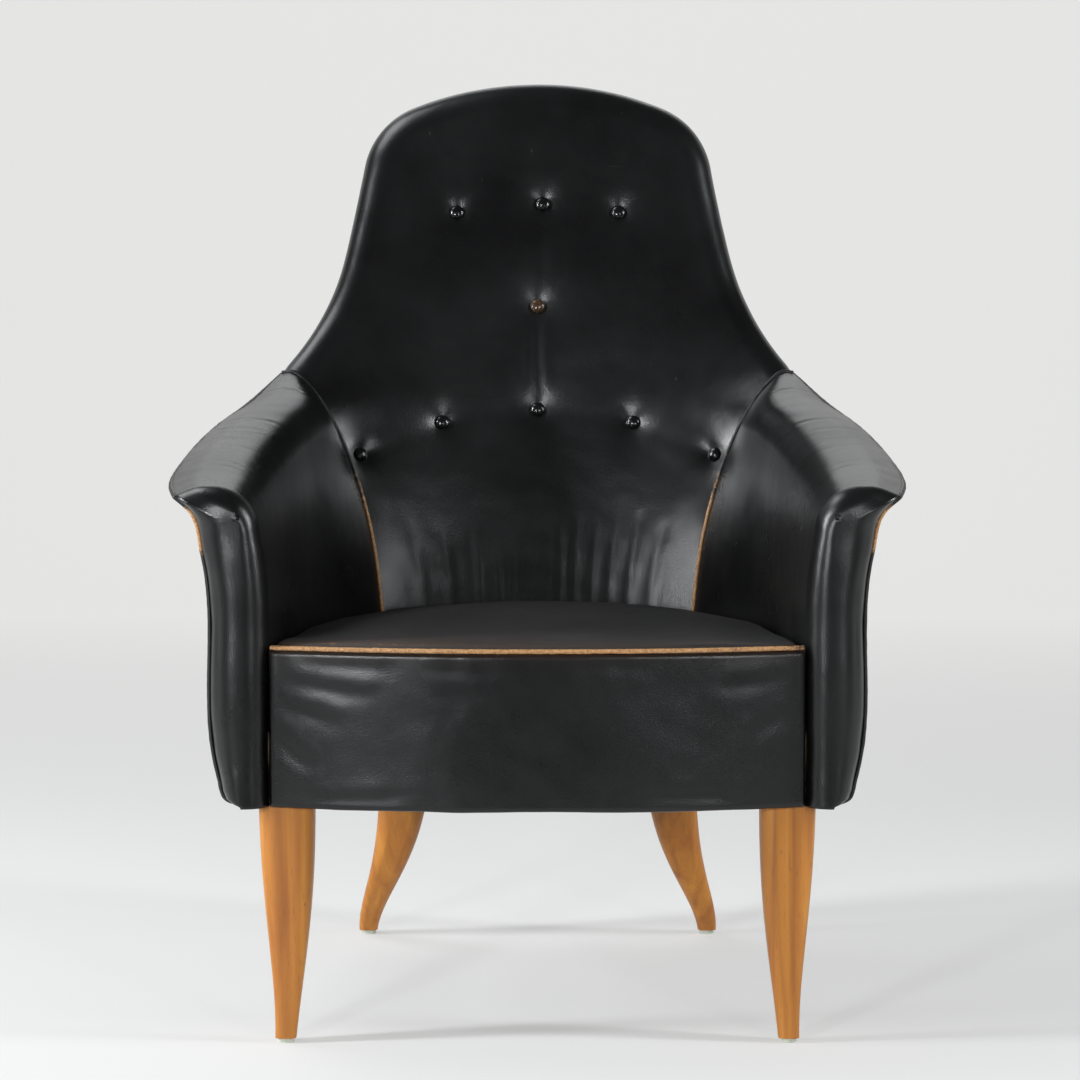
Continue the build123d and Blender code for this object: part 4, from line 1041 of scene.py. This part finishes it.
def apronSheet(across, along):
    half = apron["halfWidth"]
    roll = apron["sideRoll"]
    straight = half - roll
    reach = straight + roll * math.pi / 2 + apron["sideReturn"]
    away = np.abs(across * 2 - 1) * reach
    angle = np.clip((away - straight) / roll, 0, math.pi / 2)
    x = np.minimum(away, straight) + roll * np.sin(angle)
    sideBack = roll * (1 - np.cos(angle)) + np.clip(away - straight - roll * math.pi / 2, 0, None)
    edge = apron["edgeRoll"]
    low, high = chair["underside"], apron["top"]
    tall = high - low - 2 * edge
    total = tall + edge * math.pi + apron["bottomReturn"] + apron["topReturn"]
    run = along * total - apron["bottomReturn"]
    bottomAngle = np.clip(run / edge, 0, math.pi / 2)
    topAngle = np.clip((run - edge * math.pi / 2 - tall) / edge, 0, math.pi / 2)
    z = low + edge * (1 - np.cos(bottomAngle)) + edge * np.sin(topAngle)
    z += np.clip(run - edge * math.pi / 2, 0, tall)
    depth = np.clip(-run, 0, None) + edge * (1 - np.sin(bottomAngle)) + edge * (1 - np.cos(topAngle))
    depth += np.clip(run - edge * math.pi - tall, 0, None)
    y = bowDepth(np.minimum(x, straight)) + sideBack + depth
    return np.stack([x * np.sign(across - 0.5), y, z], 1)


apronCover = gridPiece("apronCover", apron["columns"], apron["rows"], apronSheet)
turnOutward(apronCover, apron["inside"])
apronFolds = [  # ripples at the upper left, then fainter ones
    ((-0.262, 0.385), (-0.165, 0.370), 0.003, 0.0005, 0.0085),
    ((-0.268, 0.355), (-0.195, 0.335), -0.003, 0.0005, 0.0095),
    ((-0.250, 0.404), (-0.140, 0.398), 0.002, 0.0004, 0.0075),
    ((-0.266, 0.325), (-0.226, 0.292), 0.004, 0.0006, 0.0080),
    ((0.262, 0.390), (0.180, 0.380), -0.003, 0.0004, 0.0080),
    ((0.266, 0.350), (0.215, 0.322), 0.003, 0.0004, 0.0090),
    ((-0.120, 0.400), (-0.040, 0.396), 0.002, 0.0003, 0.0070),
    ((0.040, 0.402), (0.120, 0.397), -0.002, 0.0003, 0.0070),
    ((-0.240, 0.262), (-0.120, 0.268), 0.002, 0.0004, 0.0070),
    ((0.100, 0.268), (0.230, 0.262), -0.002, 0.0004, 0.0070),
]
co = coordinates(apronCover)
relief = creases(co[:, [0, 2]], apronFolds) + uneven(co, apron["unevenness"])
push(apronCover, relief * np.clip((apron["fadeFrom"] - np.abs(co[:, 0])) / apron["sideFade"], 0, 1))
co = coordinates(apronCover)
setWear(apronCover, apron["wear"] * np.exp(-(apron["top"] - co[:, 2]) / apron["wearReach"]))
thicken(apronCover, chair["leather"])
finishPiece(apronCover, hide, ["apron_cover", "apron_padding"])
print("seat and apron made")

# Welts

def weltAlong(name, points, wearOf):
    bpy.ops.object.select_all(action="DESELECT")
    curve = bpy.data.curves.new(name, "CURVE")
    curve.dimensions = "3D"
    spline = curve.splines.new("NURBS")
    spline.points.add(len(points) - 1)
    for spot, point in zip(spline.points, points):
        spot.co = (*point, 1)
    spline.order_u = 3
    spline.use_endpoint_u = True
    curve.resolution_u = welts["stepsPerSpot"]
    curve.bevel_depth = welts["radius"]
    curve.bevel_resolution = welts["sideSteps"]
    curve.use_fill_caps = True
    piece = bpy.data.objects.new(name, curve)
    bpy.context.scene.collection.objects.link(piece)
    onlyThis(piece)
    bpy.ops.object.convert(target="MESH")
    piece = bpy.context.active_object
    co = coordinates(piece)
    push(piece, uneven(co, welts["unevenness"]))
    setWear(piece, wearOf(co))
    return piece


weltOut = welts["radius"] * welts["out"]
edgeTop = armPoints(np.full(welts["spots"], float(arm["edgePick"])), np.linspace(1, 0, welts["spots"]))
down = welts["downSpots"]
edgeDown = armPoints(np.linspace(arm["edgePick"], arm["lastPick"], down)[1:], np.zeros(down - 1))
tipOffset = weltOut * np.array([-0.1, 0, -1.2])
downOffset = weltOut * np.array([0.9, -0.5, 0])
blend = np.clip(np.arange(1, down) / welts["turnSpots"], 0, 1)[:, None]
edgeTop += tipOffset
edgeDown += tipOffset * (1 - blend) + downOffset * blend
edgePath = np.concatenate([edgeTop, edgeDown])


def edgeWear(co):
    level, reach, fullness, lastY = welts["tipWear"]
    tip = np.clip(fullness - np.abs(co[:, 2] - level) / reach, 0, 1) * (co[:, 1] < lastY)
    along, more = welts["edgeWear"]
    return along + more * tip


def mirrorPath(path):
    return path * np.array([-1, 1, 1])


seamPicks = np.linspace(welts["seamStart"], arm["edgePick"], welts["spots"])
seamPath = armPoints(seamPicks, np.ones(len(seamPicks)))
seamPath += np.array([-weltOut * 0.35, -weltOut * 0.30, 0])


def seamWear(co):
    return np.interp(co[:, 2], *welts["seamWear"])


weltX = np.linspace(-1, 1, welts["seatSpots"]) * (seat["halfWidth"] - seat["sideGap"])
weltLevel = np.full(len(weltX), chair["seatHeight"] - welts["seatDrop"])
seatWeltPath = np.stack([weltX, bowDepth(weltX) + welts["radius"], weltLevel], 1)


def seatWear(co):
    worn, less, ripple, waves = welts["seatWear"]
    return worn - less * np.clip(co[:, 0] / seat["halfWidth"], 0, 1) + ripple * np.sin(co[:, 0] * waves)


rimPoints, rimNormals = outline(np.linspace(0, 1, welts["rimSpots"]))
rim = rimPoints - rimNormals * (back["rearSeam"] - welts["radius"])
rimPath = np.stack([rim[:, 0], backDepth(rim[:, 0], rim[:, 1], 3) + welts["rimLift"], rim[:, 1]], 1)
backWeltPath = np.concatenate([mirrorPath(rimPath)[::-1], rimPath[1:]])

for name, path, wearOf, nodeName in (
    ("armEdgeWeltRight", edgePath, edgeWear, "arm_edge_welt_right"),
    ("armEdgeWeltLeft", mirrorPath(edgePath), edgeWear, "arm_edge_welt_left"),
    ("seamWeltRight", seamPath, seamWear, "seam_welt_right"),
    ("seamWeltLeft", mirrorPath(seamPath), seamWear, "seam_welt_left"),
    ("seatFrontWelt", seatWeltPath, seatWear, "seat_front_welt"),
    ("backEdgeWelt", backWeltPath, lambda co: welts["rimWear"], "back_edge_welt"),
):
    finishPiece(weltAlong(name, path, wearOf), piping, [nodeName])
print("welts made")

# Buttons
def makeButton(index, x, z):
    bpy.ops.object.select_all(action="DESELECT")
    bpy.ops.mesh.primitive_uv_sphere_add(segments=buttons["segments"], ring_count=buttons["rings"], radius=1)
    piece = bpy.context.active_object
    piece.name = "backButton" + str(index)
    co = coordinates(piece)
    flat = np.hypot(co[:, 0], co[:, 1])
    height = np.where(co[:, 2] > 0, co[:, 2], co[:, 2] * buttons["rearShare"])
    folds = np.sin(np.arctan2(co[:, 1], co[:, 0]) * buttons["puckers"] + index)
    pucker = 1 + buttons["pucker"] * folds * (co[:, 2] < buttons["puckerBelow"])
    co = np.stack([co[:, 0] * pucker, co[:, 1] * pucker, height], 1) * buttons["radius"]
    co[:, 2] *= buttons["rise"] / buttons["radius"] * (1 + buttons["crown"] * (1 - flat))
    step = buttons["slopeStep"]
    slopeX = (backDepth([x + step], [z])[0] - backDepth([x - step], [z])[0]) / (2 * step)
    slopeZ = (backDepth([x], [z + step])[0] - backDepth([x], [z - step])[0]) / (2 * step)
    outward = Vector((slopeX, -1, slopeZ)).normalized()
    turn = outward.to_track_quat("Z", "Y").to_matrix()
    foot = Vector((x, backDepth([x], [z])[0], z)) - outward * (buttons["wellDepth"] - buttons["showing"])
    setCoordinates(piece, co @ np.array(turn).T + np.array(foot))
    return piece


made = [makeButton(index, x, z) for index, (x, z) in enumerate(buttons["places"])]
for piece in made:
    piece.select_set(True)
bpy.context.view_layer.objects.active = made[0]
bpy.ops.object.join()
backButtons = bpy.context.active_object
backButtons.name = "backButtons"
co = coordinates(backButtons)
wornX, wornZ = buttons["places"][buttons["worn"]]
isWorn = np.maximum(np.abs(co[:, 0] - wornX), np.abs(co[:, 2] - wornZ)) < buttons["wornReach"]
setWear(backButtons, buttons["wear"] * isWorn)
finishPiece(backButtons, buttonHide, ["back_buttons"])
print("buttons made")

# Dust cover
dustCover = {
    "front": -0.352,
    "bow": 0.024,  # of its front edge
    "rearOfMiddle": ((0, 0.208), (0.192, 0.180), (0.292, 0.148)),  # x and y of its rear edge
    "halfFront": 0.314,
    "halfRear": 0.292,
    "sag": 0.004,
    "wall": 0.0005,
    "columns": 100,
    "rows": 92,
    "flat": (0.6280, 0.5840),
    "area": 0.3231,
    "legCuts": ((0.2611, -0.3272, 0.0293, 0.0276), (0.1452, 0.1780, 0.0293, 0.0276)),  # x, y, half sizes
    "drawIn": 0.0065,
}


def dustPlace(across, along):
    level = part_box("dust_cover")[0][2]
    side = across * 2 - 1
    rearX, rearY = zip(*dustCover["rearOfMiddle"])
    rear = np.interp(np.abs(side) * dustCover["halfRear"], rearX, rearY)
    front = dustCover["front"] - dustCover["bow"] * (1 - side ** 2)
    y = front + along * (rear - front)
    x = side * np.interp(y, (dustCover["front"], rearY[2]), (dustCover["halfFront"], dustCover["halfRear"]))
    z = level - dustCover["sag"] * (1 - side ** 2) * np.sin(math.pi * along)
    return np.stack([x, y, z], 1)


def pastLeg(co, cut):  # how far outside a leg's cut a point is, across and along
    x, y, halfWide, halfDeep = cut
    return np.abs(np.abs(co[:, 0]) - x) - halfWide, np.abs(co[:, 1] - y) - halfDeep


def clearOfLegs(across, along):
    co = dustPlace(across, along)
    clear = np.ones(len(co), bool)
    for cut in dustCover["legCuts"]:
        clear &= np.maximum(*pastLeg(co, cut)) > 0
    return clear


cloth = gridPiece("dustCoverCloth", dustCover["columns"], dustCover["rows"], dustPlace, clearOfLegs)
co = coordinates(cloth)
for cut in dustCover["legCuts"]:  # the edges beside the legs are drawn straight
    beside, before = pastLeg(co, cut)
    near = np.maximum(beside, before)
    close = (near > 0) & (near < dustCover["drawIn"])
    sideways = close & (beside >= before)
    lengthways = close & (beside < before)
    co[sideways, 0] = (np.sign(co[:, 0]) * (cut[0] + np.sign(np.abs(co[:, 0]) - cut[0]) * cut[2]))[sideways]
    co[lengthways, 1] = (cut[1] + np.sign(co[:, 1] - cut[1]) * cut[3])[lengthways]
setCoordinates(cloth, co)
edit(cloth, lambda: bpy.ops.mesh.flip_normals())
thicken(cloth, dustCover["wall"])
finishPiece(cloth, dustCloth, ["dust_cover"])
print("dust cover made")

# Floor, light and camera
stage = {
    "front": -1.6,
    "straight": 4.0,  # y where the floor turns up
    "bend": 1.6,
    "length": 12,
    "width": 16,
    "rows": 80,
    "colour": (0.68, 0.68, 0.67),
    "seenColour": (0.91, 0.91, 0.90),
    "seenShare": (0.46, 0.34),  # near the chair, and what the wall adds
    "seenRise": (0.40, 0.5),
    "worldColour": (0.9, 0.92, 0.95),
    "worldLight": 0.08,
    "worldSeen": 0.78,
    "lampColour": (0.95, 0.98, 1.0),
}


def stageMaterial():
    material, tree, shader = newMaterial("paleFloor")
    put(tree, shader.inputs["Base Color"], stage["colour"])
    put(tree, shader.inputs["Roughness"], 0.9)
    output = [item for item in tree.nodes if item.type == "OUTPUT_MATERIAL"][0]
    glow = node(tree, "Emission", Strength=1.0, Color=stage["seenColour"])
    path = node(tree, "LightPath")
    seen = maths(tree, "ADD", path.outputs["Is Camera Ray"], path.outputs["Is Glossy Ray"], clamp=True)
    split = node(tree, "SeparateXYZ", Vector=node(tree, "TexCoord").outputs["Object"])
    slope, start = stage["seenRise"]
    far = maths(tree, "SUBTRACT", maths(tree, "MULTIPLY", split.outputs["Y"], slope), start)
    wall = maths(tree, "ADD", far, split.outputs["Z"], clamp=True)
    near, more = stage["seenShare"]
    seen = maths(tree, "MULTIPLY", seen, maths(tree, "ADD", maths(tree, "MULTIPLY", wall, more), near))
    blend = node(tree, "MixShader")
    for socket, source in zip(blend.inputs, (seen, shader.outputs[0], glow.outputs[0])):
        tree.links.new(source, socket)
    tree.links.new(blend.outputs[0], output.inputs[0])
    return material


bpy.ops.object.select_all(action="DESELECT")
bpy.ops.mesh.primitive_grid_add(x_subdivisions=2, y_subdivisions=stage["rows"], size=1)
floor = bpy.context.active_object
floor.name = "paleFloor"
co = coordinates(floor)
run = (co[:, 1] + 0.5) * stage["length"] + stage["front"]
bend, straight = stage["bend"], stage["straight"]
angle = np.clip((run - straight) / bend, 0, math.pi / 2)
y = np.minimum(run, straight) + bend * np.sin(angle)
z = bend * (1 - np.cos(angle)) + np.clip(run - straight - bend * math.pi / 2, 0, None)
setCoordinates(floor, np.stack([co[:, 0] * stage["width"], y, z], 1))
smooth(floor)
floor.data.materials.append(stageMaterial())

lamps = {
    "leftStrip": {"place": (-2.7, -0.8, 1.55), "aim": (0, 0, 0.5), "size": (0.28, 1.6), "power": 100},
    "rightStrip": {"place": (2.7, -0.8, 1.55), "aim": (0, 0, 0.5), "size": (0.28, 1.6), "power": 60},
    "leftFront": {"place": (-1.40, -3.2, 0.92), "aim": (0, 0, 0.5), "size": (0.24, 0.34), "power": 46},
    "rightFront": {"place": (1.40, -3.2, 0.92), "aim": (0, 0, 0.5), "size": (0.26, 0.38), "power": 20},
    "overhead": {"place": (-1.6, 0.7, 3.2), "aim": (0, 0.1, 0.5), "size": (1.6, 1.2), "power": 36},
    "rearTop": {"place": (0, 3.6, 3.0), "aim": (0, 0, 0.6), "size": (3.0, 1.2), "power": 11},
}
for name, lamp in lamps.items():
    light = bpy.data.lights.new(name, "AREA")
    light.shape = "RECTANGLE"
    light.size, light.size_y = lamp["size"]
    light.energy = lamp["power"]
    light.color = stage["lampColour"]
    holder = bpy.data.objects.new(name, light)
    bpy.context.scene.collection.objects.link(holder)
    holder.location = lamp["place"]
    holder.rotation_euler = (Vector(lamp["aim"]) - Vector(lamp["place"])).to_track_quat("-Z", "Y").to_euler()

world = bpy.data.worlds.new("studio")
bpy.context.scene.world = world
world.use_nodes = True
tree = world.node_tree
background = tree.nodes["Background"]
put(tree, background.inputs["Color"], stage["worldColour"])
seen = maths(tree, "MULTIPLY", node(tree, "LightPath").outputs["Is Camera Ray"], stage["worldSeen"])
put(tree, background.inputs["Strength"], maths(tree, "ADD", seen, stage["worldLight"]))

view = {"place": (0.0028, -4.079, 0.854), "tilt": 85.0, "lens": 120.97, "sensor": 36.0}
camera = bpy.data.objects.new("camera", bpy.data.cameras.new("camera"))
bpy.context.scene.collection.objects.link(camera)
camera.data.lens = view["lens"]
camera.data.sensor_width = view["sensor"]
camera.location = view["place"]
camera.rotation_euler = (math.radians(view["tilt"]), 0, 0)
bpy.context.scene.camera = camera
bpy.context.scene.view_settings.view_transform = "Standard"

bpy.context.view_layer.update()
